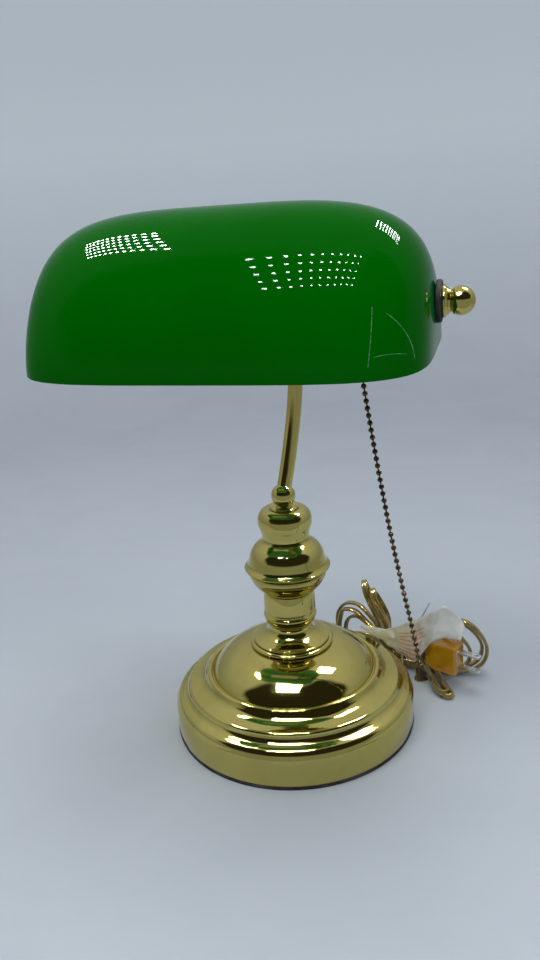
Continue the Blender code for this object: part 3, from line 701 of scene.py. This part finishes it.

# %% [markdown]
# ## The wire tie and the paper tag
# The tie is a coated wire, wound round the hank's middle and twisted, with a long free end. The
# tag is one strip of paper that wraps the front of the hank and folds up over the plug. A loft
# between listed edges gives the sheet, and Solidify gives it the thickness of paper.

# %% Tie
TIE = [hank(56, 6, 28), hank(56, 10.4, 22), hank(56, 10.6, 8), hank(56, 6, 0.9),
       hank(57, -6, 0.9), hank(57.4, -10.6, 8), hank(57.6, -10.4, 20), hank(58, -6, 27.6),
       hank(56, 2, 29.0), hank(62, 0, 34), hank(68, -2, 44), hank(76, 2, 62)]
tie_line = [point * MM for point in evenly(through(TIE, 8), 1.2)]
tie_mesh = mesh_from(swept(tie_line, round_section(0.65, 45), (1, 0, 0)), "wire_tie")
tie_mesh.materials.append(TIE_COAT)
tie = piece("wire_tie", tie_mesh, "stand", "zinc_steel", "twist_tie")

# %% Tag
TAG_ROWS = [  # along, across, lower edge, upper edge, and how far the upper edge leans back
    (22.3, -14, 32.6, 36.0, 0), (31, -14.6, 31.0, 36.2, 0.5), (40, -15.6, 28.0, 37.0, 1),
    (51, -17, 24.6, 41.0, 2), (62, -18, 20.0, 47.6, 3), (72, -18.6, 17.8, 54.0, 4),
    (79, -18.4, 27, 58.0, 5), (86, -16.5, 38, 62.5, 6), (93, -12.5, 41, 66, 8),
    (101, -9, 41, 57, 9), (107, -8, 41.5, 48, 9),
]


def tag_mesh(columns=44, rows=12):
    lower = through([(*hank(a, c, low),) for a, c, low, high, lean in TAG_ROWS], 6)
    upper = through([(*hank(a, c + lean, high),) for a, c, low, high, lean in TAG_ROWS], 6)
    lower = evenly(lower, length_of(lower) / columns)
    upper = evenly(upper, length_of(upper) / columns)
    bm = bmesh.new()
    uv_layer = bm.loops.layers.uv.new("on_tag")
    grid = []
    for i, (low, high) in enumerate(zip(lower, upper)):
        column = []
        for j in range(rows + 1):
            t = j / rows
            point = low.lerp(high, t)
            crease = noise.noise(point * 0.16) * 1.5 + abs(noise.noise(point * 0.34)) * 1.3
            point -= HANK_BACK * (math.sin(math.pi * t) * 0.8 + crease)
            point.z += noise.noise(point * 0.25 + Vector((9, 0, 0))) * 0.9
            column.append(bm.verts.new(point * MM))
        grid.append(column)
    for i in range(len(grid) - 1):
        for j in range(rows):
            face = bm.faces.new((grid[i][j], grid[i + 1][j], grid[i + 1][j + 1], grid[i][j + 1]))
            for loop, (a, b) in zip(face.loops, ((i, j), (i + 1, j), (i + 1, j + 1), (i, j + 1))):
                loop[uv_layer].uv = (a / columns, b / rows)
    tag = loose("tag_shape", mesh_from(bm, "tag_shape"))
    modify(tag, "SOLIDIFY", thickness=0.25 * MM, offset=0.0)
    return baked(tag)


tag_data = tag_mesh()
tag_data.shade_smooth()
tag = piece("paper_tag", tag_data, "stand", "paper", "cord_tag")
print("tag faces", len(tag.data.polygons))

# %% [markdown]
# ## Turned brass
# The base and the stem are spun and turned brass. Each is an outline turned round an axis. An
# outline is written as it would be on a drawing: straight stretches as points, round ones as
# arcs or as a smooth curve through a few points, so that beads stay crisp and coves stay soft.

# %% Outlines and the lathe
def arc(r, z, radius, start, end, count=8):
    """Points round part of a circle at (r, z), from one angle to another in degrees."""
    angles = [math.radians(start + (end - start) * i / (count - 1)) for i in range(count)]
    return [(r + radius * math.cos(a), z + radius * math.sin(a)) for a in angles]


def soft(*points, cuts=6):
    return [(p.x, p.y) for p in through([(r, z, 0) for r, z in points], cuts)]


def lathe(name, outline, steps=96, matrix=Matrix(), sharp=32.0):
    """Turn an outline of (radius, height) in millimetres, listed down its outer side."""
    bm = bmesh.new()
    verts = [bm.verts.new((max(r, 0.0) * MM, 0.0, z * MM)) for r, z in outline]
    edges = [bm.edges.new(pair) for pair in zip(verts, verts[1:])]
    if outline[0][0] > 0:
        edges.append(bm.edges.new((verts[-1], verts[0])))
    bmesh.ops.spin(bm, geom=verts + edges, axis=(0, 0, 1), cent=(0, 0, 0),
                   angle=math.radians(360), steps=steps, use_duplicate=False)
    return mesh_from(bm, name, matrix, sharp)


def turned(name, outline, body, slot, node, steps=96, matrix=Matrix()):
    return piece(name, lathe(name, outline, steps, matrix), body, slot, node)


BORE = 5.1

# %% The base
base_outline = (
    [(BORE, 63.6), (31.0, 63.6)]
    + soft((31.0, 63.6), (39.0, 61.5), (47.0, 57.6), (53.4, 52.4), (57.6, 47.4), (60.0, 43.4))
    + arc(62.6, 43.0, 2.0, 175, 20, 8)
    + soft((64.6, 43.4), (66.4, 40.6), (69.6, 38.4), (73.6, 37.2), (76.4, 36.6))
    + arc(76.6, 34.6, 2.0, 90, 0, 6)
    + soft((78.6, 34.4), (79.4, 32.2), (81.4, 30.2), (83.6, 29.2))
    + soft((83.8, 29.4), (86.0, 28.2), (87.6, 26.2), (88.6, 23.6))
    + [(88.8, 23.1), (89.0, 22.6), (89.0, 3.4), (88.6, 2.5), (87.4, 2.5), (87.4, 15.0),
       (86.4, 22.0), (82.4, 27.6), (78.0, 31.0), (76.0, 34.4), (70.4, 36.2), (65.0, 40.6),
       (60.0, 41.8), (57.0, 46.2), (46.2, 56.2), (31.0, 62.2), (BORE, 62.2)]
)
turned("base", base_outline, "stand", "polished_brass", "base_shell", 192)
rim_outline = ([(84.0, 2.2)] + arc(88.6, 1.6, 0.6, 90, -20, 5)
               + [(89.0, 0.6), (88.6, 0.0), (84.0, 0.0)])
turned("rim_ring", rim_outline, "stand", "black_rubber", "base_rim_ring", 192)
pad_outline = [(0, 1.6), (82.2, 1.6), (82.6, 1.2), (82.6, 0.2), (82.2, 0.0), (0, 0.0)]
turned("felt_pad", pad_outline, "stand", "felt", "base_pad", 128)
print("base outline points", len(base_outline))

# %% The stem
STEM = {
    "base_collar": (
        [(14.6, 78.0)] + soft((15.2, 77.4), (15.6, 75.6), (17.4, 73.0), (20.6, 70.8),
                              (24.4, 69.2), (26.8, 68.6))
        + arc(26.9, 67.7, 0.9, 80, -60, 6) + arc(29.0, 65.4, 1.7, 110, -60, 8)
        + [(29.6, 63.9)]),
    "stem_neck": (
        [(17.8, 89.7)] + arc(17.2, 86.6, 2.2, 70, -30, 8)
        + soft((18.9, 84.9), (18.0, 82.4), (16.2, 80.4), (15.0, 79.4), (14.7, 78.3))),
    "stem_cup": (
        arc(17.6, 104.9, 0.5, 90, 0, 4) + [(18.4, 104.0), (18.7, 100.0), (18.8, 92.6)]
        + arc(18.2, 90.7, 0.7, 40, -90, 5)),
    "vase_lower": (
        [(28.4, 121.9)] + arc(28.0, 121.0, 0.8, 70, -50, 5)
        + soft((28.2, 120.2), (27.4, 117.2), (25.6, 113.4), (22.8, 109.8), (20.2, 107.2),
               (17.8, 105.6))),
    "vase_upper": (
        [(16.9, 146.4)] + soft((16.9, 146.4), (17.8, 144.6), (20.4, 142.4), (23.6, 139.4),
                               (26.0, 135.4), (27.3, 131.0), (28.3, 127.6), (30.2, 125.4))
        + arc(30.1, 124.4, 0.9, 60, -60, 6) + [(29.2, 123.2), (28.9, 122.4), (28.6, 122.2)]),
    "stem_cap": (
        soft((9.4, 166.0), (10.4, 167.4), (12.4, 168.4), (14.8, 167.8), (17.2, 165.8),
             (19.0, 162.4), (19.4, 158.6), (18.9, 155.4), (17.9, 152.4), (17.1, 149.6))
        + [(16.9, 146.7)]),
    "ball_flange": [(7.4, 169.0)] + arc(8.3, 167.8, 1.3, 80, -80, 8) + [(7.4, 166.5)],
}
for name, outline in STEM.items():
    closed = [(BORE, outline[0][1])] + list(outline) + [(BORE, outline[-1][1])]
    turned("turned_" + name, closed, "stand", "polished_brass", name)
ball_outline = ([(0, 185.6)] + arc(0, 177.0, 8.6, 86, -50, 20)
                + [(5.9, 169.2), (BORE, 168.8), (0, 168.8)])
turned("ball", ball_outline, "stand", "polished_brass", "ball_coupling", 72)
print("turned pieces", len(STEM) + 1)

# %% [markdown]
# ## The arm
# The arm is brass tube, bent to a crook that passes behind the shade's middle and comes forward
# under its top. The knuckle at its end carries the stud that the head turns on.

# %% Arm and knuckle
ARM_ROUTE = [
    (0.8, 180.2), (3.6, 188.0), (7.7, 199.4), (12.8, 215.5), (17.2, 231.7), (20.5, 248.1),
    (22.4, 265.0), (22.0, 282.0), (18.4, 300.0), (10.5, 316.0), (-1.5, 328.2), (-16.0, 333.8),
    (-30.0, 334.5), (-36.4, 334.5),
]


def behind(distance, height):
    return BACK * distance + Vector((0, 0, height))


arm_line = [point * MM for point in evenly(through([behind(*p) for p in ARM_ROUTE], 10), 2.5)]
ARM_RADIUS = 5.2
arm_tube = swept(arm_line, round_section(ARM_RADIUS, 10), BACK.cross(Vector((0, 0, 1))))
piece("arm", mesh_from(arm_tube, "arm"), "stand", "polished_brass", "arm_tube")
knuckle_outline = ([(0, 351.5), (2.6, 351.5), (3.0, 351.0), (3.0, 343.0)]
                   + arc(7.5, 342.0, 1.0, 90, 0, 5) + arc(7.5, 327.0, 1.0, 0, -90, 5)
                   + [(0, 326.0)])
at_swivel = Matrix.Translation((SWIVEL.x, SWIVEL.y, 0))
turned("knuckle", knuckle_outline, "stand", "polished_brass", "arm_knuckle", 64, at_swivel)
print("arm length", round(length_of(arm_line), 3), "m")

# %% [markdown]
# ## The glass shade
# Seen from above and from the front the shade is a rectangle with very round corners, and from
# its end it is an arch. One rule gives all three: a ball whose poles lie at the shade's two ends
# is pushed out to powers of its coordinates. The wall is a Solidify, drilled at both ends for the
# studs, and its ground rim is bevelled. Faces that look inwards take the opal.

# %% Shade surface
HALF_LENGTH, HALF_DEPTH, HEIGHT = 124.4, 75.1, 87.3
RIM_DROP = 27.2
PLAN_POWER, END_POWER, SECTION_POWER = 4.5, 3.9, 1.4
TO_SHADE = Matrix.Translation(PIVOT) @ Matrix.Rotation(SHADE_TILT, 4, "X")


def shade_place(turn, polar):
    """A place on the glass. polar runs from one end to the other, turn from rim to rim."""
    sign = 1.0 if polar < math.radians(90) else -1.0
    share = min(polar, math.radians(180) - polar) / math.radians(90)
    along = math.cos(math.radians(90) * share ** 1.7) ** (2 / PLAN_POWER)
    width = max(0.0, 1 - along ** PLAN_POWER) ** (1 / PLAN_POWER)
    rise = max(0.0, 1 - along ** END_POWER) ** (1 / END_POWER)
    return Vector((sign * HALF_LENGTH * along, HALF_DEPTH * width * math.cos(turn),
                   HEIGHT * rise * max(0.0, math.sin(turn)) ** SECTION_POWER - RIM_DROP)) * MM


def shade_mesh(around=96, along=120):
    bm = bmesh.new()
    rows = []
    for i in range(along + 1):
        polar = math.radians(180) * i / along
        rows.append([bm.verts.new(shade_place(math.radians(180) * j / around, polar))
                     for j in range(around + 1)])
    for first, second in zip(rows, rows[1:]):
        for j in range(around):
            bm.faces.new((first[j], first[j + 1], second[j + 1], second[j]))
    shade = loose("shade_shape", mesh_from(bm, "shade_shape"))
    for material in (FINISH["green_glass"], OPAL_GLASS):
        shade.data.materials.append(material)
    modify(shade, "SOLIDIFY", thickness=3.6 * MM, offset=-1.0, use_even_offset=True,
           material_offset=1)
    modify(shade, "BEVEL", width=1.1 * MM, segments=3, limit_method="ANGLE",
           angle_limit=math.radians(60))
    stud_holes = drill("shade_drill", 4, 300, 32, Matrix.Rotation(math.radians(90), 4, "Y"))
    modify(shade, "BOOLEAN", object=stud_holes)
    mesh = baked(shade)
    bpy.data.objects.remove(stud_holes, do_unlink=True)
    mesh.transform(TO_SHADE)
    mesh.shade_smooth()
    mesh.set_sharp_from_angle(angle=math.radians(40))
    return mesh


glass = piece("shade_glass", shade_mesh(), "shade", "green_glass", "glass_shade")
print("shade faces", len(glass.data.polygons), [m.name for m in glass.data.materials])

# %% [markdown]
# ## Finials
# At each end a rubber washer beds on the glass and a stepped collar presses it. A ball knob
# screws on to the right stud and a low cap nut on to the left one. They are all turned round
# the tilt axis, pointing outwards.

# %% Finials
for side, sign in (("left", -1), ("right", 1)):
    outwards = TO_SHADE @ Matrix.Rotation(math.radians(90 * sign), 4, "Y")
    washer = ([(2.8, 127.2)] + arc(11.3, 126.3, 0.9, 90, 0, 5) + arc(11.3, 125.0, 0.9, 0, -90, 5)
              + [(2.8, 124.1)])
    turned("rubber_washer_" + side, washer, "shade", "black_rubber", "outer_washer_" + side,
           64, outwards)
    bed = [(2.8, 118.6), (7.6, 118.6), (8.0, 118.2), (8.0, 116.6), (7.6, 116.2), (2.8, 116.2)]
    turned("bed_washer_" + side, bed, "shade", "black_rubber", "inner_washer_" + side, 48,
           outwards)
    collar = ([(2.7, 132.5), (6.0, 132.5)] + arc(6.2, 131.8, 0.6, 90, 0, 5)
              + arc(7.2, 130.3, 0.7, 90, 0, 5) + arc(8.7, 128.7, 0.8, 90, -20, 6)
              + [(9.2, 127.3), (2.7, 127.3)])
    turned("collar_" + side, collar, "shade", "polished_brass", "finial_collar_" + side, 72,
           outwards)
ball_finial = ([(0, 145.9)] + arc(0, 137.5, 8.4, 86, -26, 22)
               + soft((7.2, 133.5), (6.6, 133.1), (6.2, 132.7)) + [(0, 132.7)])
cap_finial = (soft((0, 138.4), (3.2, 138.0), (6.0, 136.5), (7.6, 134.4), (7.8, 133.2))
              + [(7.4, 132.7), (0, 132.7)])
turned("knob_right", ball_finial, "right_knob", "polished_brass", "finial_ball_right", 72,
       TO_SHADE @ Matrix.Rotation(math.radians(90), 4, "Y"))
turned("knob_left", cap_finial, "left_knob", "polished_brass", "finial_cap_left", 72,
       TO_SHADE @ Matrix.Rotation(math.radians(-90), 4, "Y"))
print("finial reaches", round(145.9 - HALF_LENGTH, 1), "mm past the glass")

# %% [markdown]
# ## The head inside the shade
# The pull-chain lampholder lies along the shade. Its cap, shell, liner, screw shell and bulb are
# all turned round one line, so they share a matrix that takes the lathe's Z axis to +X.

# %% Lampholder and bulb
SOCKET_Z = 306.0
along_head = Matrix.Translation((SWIVEL.x, SWIVEL.y, SOCKET_Z * MM)) @ Matrix.Rotation(
    math.radians(90), 4, "Y")
shell_outline = ([(16.6, 86.8), (16.6, 47.0)] + arc(16.5, 45.3, 0.9, 60, -60, 6)
                 + [(16.6, 43.6), (15.9, 43.6), (15.9, 86.8)])
cap_outline = ([(BORE, 100.7)] + soft((11.6, 100.6), (14.6, 99.2), (16.6, 96.4), (17.4, 92.4),
                                      (17.7, 88.0))
               + [(18.6, 86.9), (18.7, 86.2), (18.6, 83.4), (17.8, 83.4), (17.8, 86.0),
                  (17.0, 87.2), (16.6, 93.6), (14.8, 97.4), (11.6, 99.7), (BORE, 99.9)])
bulb_outline = ([(0, 46.9), (12.8, 46.9)]
                + soft((13.0, 46.4), (13.6, 40.0), (15.2, 34.0), (16.0, 27.0), (16.0, 18.0))
                + soft((16.0, -56.0), (15.4, -63.0), (12.6, -69.6), (8.0, -73.6), (3.0, -75.2))
                + [(0, -75.4)])
cap_of_bulb = [(0, 64.5), (4.4, 64.5), (4.6, 63.8), (9.0, 62.2), (12.6, 60.6)]
for turn in range(5):
    top = 59.8 - 2.5 * turn
    cap_of_bulb += [(13.2, top), (12.5, top - 1.25)]
cap_of_bulb += [(13.0, 47.2), (0, 47.2)]
for name, outline, node, slot in (
    ("holder_shell", shell_outline, "socket_shell", "aged_brass"),
    ("holder_cap", cap_outline, "socket_cap", "aged_brass"),
    ("bulb", bulb_outline, "bulb_glass", "bulb_glass"),
    ("bulb_screw_cap", cap_of_bulb, "bulb_cap", "aluminium"),
):
    turned(name, outline, "bail", slot, node, 72, along_head)

# %% [markdown]
# ## The bead chain
# A bead chain is hollow balls that share short wire links. It repeats along a path, so Geometry
# Nodes makes it: the path is resampled at the bead pitch, a ball is set on each point, and a thin
# wire is run along the whole path for the links. The tree ends in Realize Instances and Set
# Material and is baked to one plain mesh.

# %% Chain tree
BEAD_RADIUS, BEAD_PITCH, LINK_RADIUS = 1.75 * MM, 4.5 * MM, 0.55 * MM
CHAIN_ROUTE = [(0.0, -0.6), (4.4, -32.5), (10.0, -69.5), (17.0, -111.5), (24.0, -147.5),
               (29.6, -174.5), (34.2, -200.0)]


def bead_chain_tree(material):
    tree = bpy.data.node_groups.new("bead_chain", "GeometryNodeTree")
    tree.interface.new_socket("Geometry", in_out="INPUT", socket_type="NodeSocketGeometry")
    for name, value in (("Bead Radius", BEAD_RADIUS), ("Pitch", BEAD_PITCH),
                        ("Link Radius", LINK_RADIUS)):
        socket = tree.interface.new_socket(name, in_out="INPUT", socket_type="NodeSocketFloat")
        socket.default_value = value
    tree.interface.new_socket("Geometry", in_out="OUTPUT", socket_type="NodeSocketGeometry")
    given = add(tree, "NodeGroupInput").outputs
    points = add(tree, "GeometryNodeCurveToPoints", mode="LENGTH", Curve=given["Geometry"],
                 Length=given["Pitch"])
    bead = add(tree, "GeometryNodeMeshUVSphere", Segments=16, Rings=10,
               Radius=given["Bead Radius"])
    beads = add(tree, "GeometryNodeInstanceOnPoints", Points=points.outputs["Points"],
                Instance=bead.outputs["Mesh"], Rotation=points.outputs["Rotation"])
    ring = add(tree, "GeometryNodeCurvePrimitiveCircle", Resolution=8,
               Radius=given["Link Radius"])
    wire = add(tree, "GeometryNodeCurveToMesh", Curve=given["Geometry"], Fill_Caps=True,
               Profile_Curve=ring.outputs["Curve"])
    both = add(tree, "GeometryNodeJoinGeometry")
    join(tree, beads.outputs["Instances"], both.inputs[0])
    join(tree, wire.outputs["Mesh"], both.inputs[0])
    smooth = add(tree, "GeometryNodeSetShadeSmooth", Geometry=both.outputs[0])
    real = add(tree, "GeometryNodeRealizeInstances", Geometry=smooth.outputs[0])
    paint = add(tree, "GeometryNodeSetMaterial", Geometry=real.outputs[0], Material=material)
    join(tree, paint.outputs[0], add(tree, "NodeGroupOutput").inputs[0])
    return tree


def line_curve(name, line):
    curve = bpy.data.curves.new(name, "CURVE")
    curve.dimensions = "3D"
    spline = curve.splines.new("POLY")
    spline.points.add(len(line) - 1)
    for point, place in zip(spline.points, line):
        point.co = (*place, 1.0)
    return loose(name, curve)


chain_line = [PULL_END + point * MM for point in
              evenly(through([(x, 0, z) for x, z in CHAIN_ROUTE], 10), 1.0)]
chain_path = line_curve("chain_path", chain_line)
modifier = chain_path.modifiers.new("beads", "NODES")
modifier.node_group = bead_chain_tree(FINISH["dark_bronze"])
chain_mesh = baked(chain_path)
chain_mesh.materials.clear()
piece("bead_chain", chain_mesh, "chain", "dark_bronze", "pull_chain")
print("beads", round(length_of(chain_line) / BEAD_PITCH), "chain faces", len(chain_mesh.polygons))

# %% [markdown]
# ## The bell
# The pull ends in a small bell that hides the last bead. It hangs along the chain's end, so its
# matrix turns the lathe's Z axis against the chain's fall.

# %% Bell
fall = (chain_line[-1] - chain_line[-6]).normalized()
at_bell = (Matrix.Translation(chain_line[-1] + fall * 0.3 * MM)
           @ fall.to_track_quat("-Z", "Y").to_matrix().to_4x4())
bell_outline = ([(0, 0.0)] + arc(1.6, -1.0, 1.0, 90, 10, 5)
                + soft((2.9, -1.6), (3.1, -3.4), (3.5, -5.6), (4.3, -8.0), (5.2, -9.8))
                + arc(5.0, -10.4, 0.5, 60, -90, 5) + soft((4.6, -10.4), (3.2, -6.4), (2.2, -3.4))
                + [(0, -2.8)])
turned("bell", bell_outline, "chain", "dark_bronze", "chain_bell", 48, at_bell)

# %% [markdown]
# ## The frame's own pieces
# Everything that is left from the frame is plain and already the right shape: nuts, studs, strap,
# bail and what the base hides. Each takes the finish of its slot in the record.

# %% Finish what is carried over
INNER_LEAD = finish("lead_insulation", (0.50, 0.33, 0.09), (0.40, 0.25, 0.06), 0.16, 0.26)
slot_finish = {**FINISH, "gold_cord": INNER_LEAD}
slot_of = {row["node"]: row["material_slot"] for row in frame["record"]["subparts"]}
for name, node in frame["nodes"].items():
    node.data.materials.clear()
    node.data.materials.append(slot_finish[slot_of[name]])
print("carried over:", sorted(n for n, node in frame["nodes"].items() if not node.hide_render))

# %% [markdown]
# ## Floor and light
# The lamp stands on a pale floor in a round white room, so there is a plain wall behind it from
# every side. The paper's colour is painted paler towards the top of the wall: painted light. Polished
# brass and glass show the room, so what they reflect matters as much as what lights them. The soft
# lights are kept out of reflections. For glossy rays only, the world is dark towards an open front.
# Three panels of small lamps hang above and are seen only in reflections, as a light tent's lamps
# are. The room itself is seen only by the camera.

# %% Floor and room
TENT_EDGE, FLOOR_BACK, FLOOR_SIDE = -0.27, 0.95, 1.0
ROOM_FLAT, ROOM_BEND, ROOM_HEIGHT = 0.95, 0.75, 2.6
FLOOR_PAPER = finish("floor_paper", (0.365, 0.40, 0.44), (0.345, 0.38, 0.42), 0.60, 0.70,
                     bump=0.02, smudge_scale=6.0)


# Painted light: the paper's colour turns paler with height, darker on the floor and low on the wall, paler higher
# up.
overlay(FLOOR_PAPER, remap(FLOOR_PAPER.node_tree, split(
    FLOOR_PAPER.node_tree, FLOOR_PAPER.node_tree.nodes["Texture Coordinate"].outputs["Object"])[2],
    0.02, 0.55, 0.0, 1.0), (0.56, 0.61, 0.65))


def hide_from(obj, *rays):
    for ray in rays:
        setattr(obj, "visible_" + ray, False)


def floor_mesh():
    bm = bmesh.new()
    bm.faces.new([bm.verts.new((x, y, 0.0)) for x, y in (
        (-FLOOR_SIDE, TENT_EDGE), (FLOOR_SIDE, TENT_EDGE), (FLOOR_SIDE, FLOOR_BACK),
        (-FLOOR_SIDE, FLOOR_BACK))])
    return mesh_from(bm, "floor", Matrix.Rotation(CAMERA_HEADING, 4, "Z"))


def room_mesh():
    """A round room: a floor a hair lower than the lamp's own, curving up into a wall."""
    outline = [(0.0, -0.0004), (ROOM_FLAT, -0.0004)]
    for step in range(1, 25):
        angle = math.radians(90 * step / 24)
        outline.append((ROOM_FLAT + ROOM_BEND * math.sin(angle),
                        ROOM_BEND - ROOM_BEND * math.cos(angle)))
    outline.append((ROOM_FLAT + ROOM_BEND, ROOM_HEIGHT))
    bm = bmesh.new()
    verts = [bm.verts.new((r, 0.0, z)) for r, z in outline]
    edges = [bm.edges.new(pair) for pair in zip(verts, verts[1:])]
    bmesh.ops.spin(bm, geom=verts + edges, axis=(0, 0, 1), cent=(0, 0, 0),
                   angle=math.radians(360), steps=96, use_duplicate=False)
    bmesh.ops.remove_doubles(bm, verts=bm.verts, dist=0.00001)
    bmesh.ops.recalc_face_normals(bm, faces=bm.faces)
    bmesh.ops.reverse_faces(bm, faces=bm.faces)
    mesh = bpy.data.meshes.new("room_wall")
    bm.to_mesh(mesh)
    bm.free()
    mesh.shade_smooth()
    return mesh


lamp_floor = loose("lamp_floor", floor_mesh())
room_wall = loose("room_wall", room_mesh())
hide_from(room_wall, "glossy", "diffuse", "shadow", "transmission")
for stage_piece in (lamp_floor, room_wall):
    stage_piece.data.materials.append(FLOOR_PAPER)


# %% Lights
def soft_light(name, place, target, size, power, colour):
    data = bpy.data.lights.new(name, "AREA")
    data.shape = "RECTANGLE"
    data.size, data.size_y = size
    data.energy = power
    data.color = colour
    light = loose(name, data)
    light.location = place
    light.rotation_euler = (Vector(target) - Vector(place)).to_track_quat("-Z", "Y").to_euler()
    hide_from(light, "glossy")


soft_light("key", (-0.5, -0.7, 1.5), (0, 0, 0.15), (0.7, 0.5), 11.0, (1.0, 0.99, 0.96))
soft_light("side", (1.3, -0.5, 0.9), (0, 0, 0.2), (0.6, 0.9), 6.0, (0.92, 0.96, 1.0))
soft_light("top", (0.1, 0.1, 1.7), (0, 0.05, 0.2), (1.0, 0.7), 11.0, (0.95, 0.98, 1.0))

# %% Panels of small lamps
LAMP_GLOW = bpy.data.materials.new("lamp_glow")
LAMP_GLOW.use_nodes = True
glow = LAMP_GLOW.node_tree.nodes["Principled BSDF"]
glow.inputs["Base Color"].default_value = (0.0, 0.0, 0.0, 1.0)
glow.inputs["Emission Color"].default_value = (0.93, 0.98, 1.0, 1.0)
glow.inputs["Emission Strength"].default_value = 480.0
PANEL_HEIGHT, LAMP = 0.9, 0.010


def lamp_panel(name, corner, across, along, columns, rows):
    """A grid of small square lamps from one corner, facing down."""
    bm = bmesh.new()
    for i in range(columns):
        for j in range(rows):
            place = (Vector(corner) + Vector(across) * (i / (columns - 1))
                     + Vector(along) * (j / (rows - 1)))
            bm.faces.new([bm.verts.new((place.x + LAMP * dx, place.y + LAMP * dy, PANEL_HEIGHT))
                          for dx, dy in ((-0.5, -0.5), (-0.5, 0.5), (0.5, 0.5), (0.5, -0.5))])
    mesh = bpy.data.meshes.new(name)
    bm.to_mesh(mesh)
    bm.free()
    mesh.materials.append(LAMP_GLOW)
    panel = loose(name, mesh)
    hide_from(panel, "camera", "diffuse", "shadow", "transmission")


lamp_panel("front_lamps", (-0.175, -0.315, 0), (0.40, 0.075, 0), (-0.012, -0.28, 0), 11, 5)
lamp_panel("left_lamps", (-0.55, 0.06, 0), (0.245, -0.045, 0), (0.02, -0.19, 0), 12, 6)
lamp_panel("right_lamps", (0.245, 0.19, 0), (0.27, 0.045, 0), (-0.02, 0.16, 0), 10, 6)

# %% The room that shows in reflections
world = bpy.data.worlds.new("room")
bpy.context.scene.world = world
world.use_nodes = True
room = world.node_tree
even_sky = room.nodes["Background"]
even_sky.inputs["Color"].default_value = (0.62, 0.66, 0.72, 1.0)
even_sky.inputs["Strength"].default_value = 0.68
ways = add(room, "ShaderNodeTexCoord").outputs["Generated"]
turned_way = add(room, "ShaderNodeMapping", vector_type="POINT", Vector=ways,
                 Rotation=(0.0, 0.0, -CAMERA_HEADING))
beside, behind_it, upward = split(room, turned_way.outputs[0])
opening = product(room, remap(room, behind_it, -0.20, -0.10, 1.0, 0.0),
                  remap(room, upward, 0.90, 0.96, 1.0, 0.0),
                  remap(room, upward, 0.10, 0.24, 0.0, 1.0),
                  remap(room, worked(room, "ABSOLUTE", beside), 0.86, 0.94, 1.0, 0.0))
height = remap(room, upward, 0.05, 0.75, 0.0, 1.0)
lit = mix_colours(room, height, (0.31, 0.34, 0.36, 1.0), (0.60, 0.63, 0.66, 1.0))
seen_sky = add(room, "ShaderNodeBackground", Strength=1.0,
               Color=mix_colours(room, opening, lit, (0.026, 0.026, 0.018, 1.0)))
by_ray = add(room, "ShaderNodeMixShader",
             Fac=add(room, "ShaderNodeLightPath").outputs["Is Glossy Ray"])
join(room, even_sky.outputs[0], by_ray.inputs[1])
join(room, seen_sky.outputs[0], by_ray.inputs[2])
join(room, by_ray.outputs[0], room.nodes["World Output"].inputs["Surface"])
bpy.context.scene.view_settings.view_transform = "Standard"
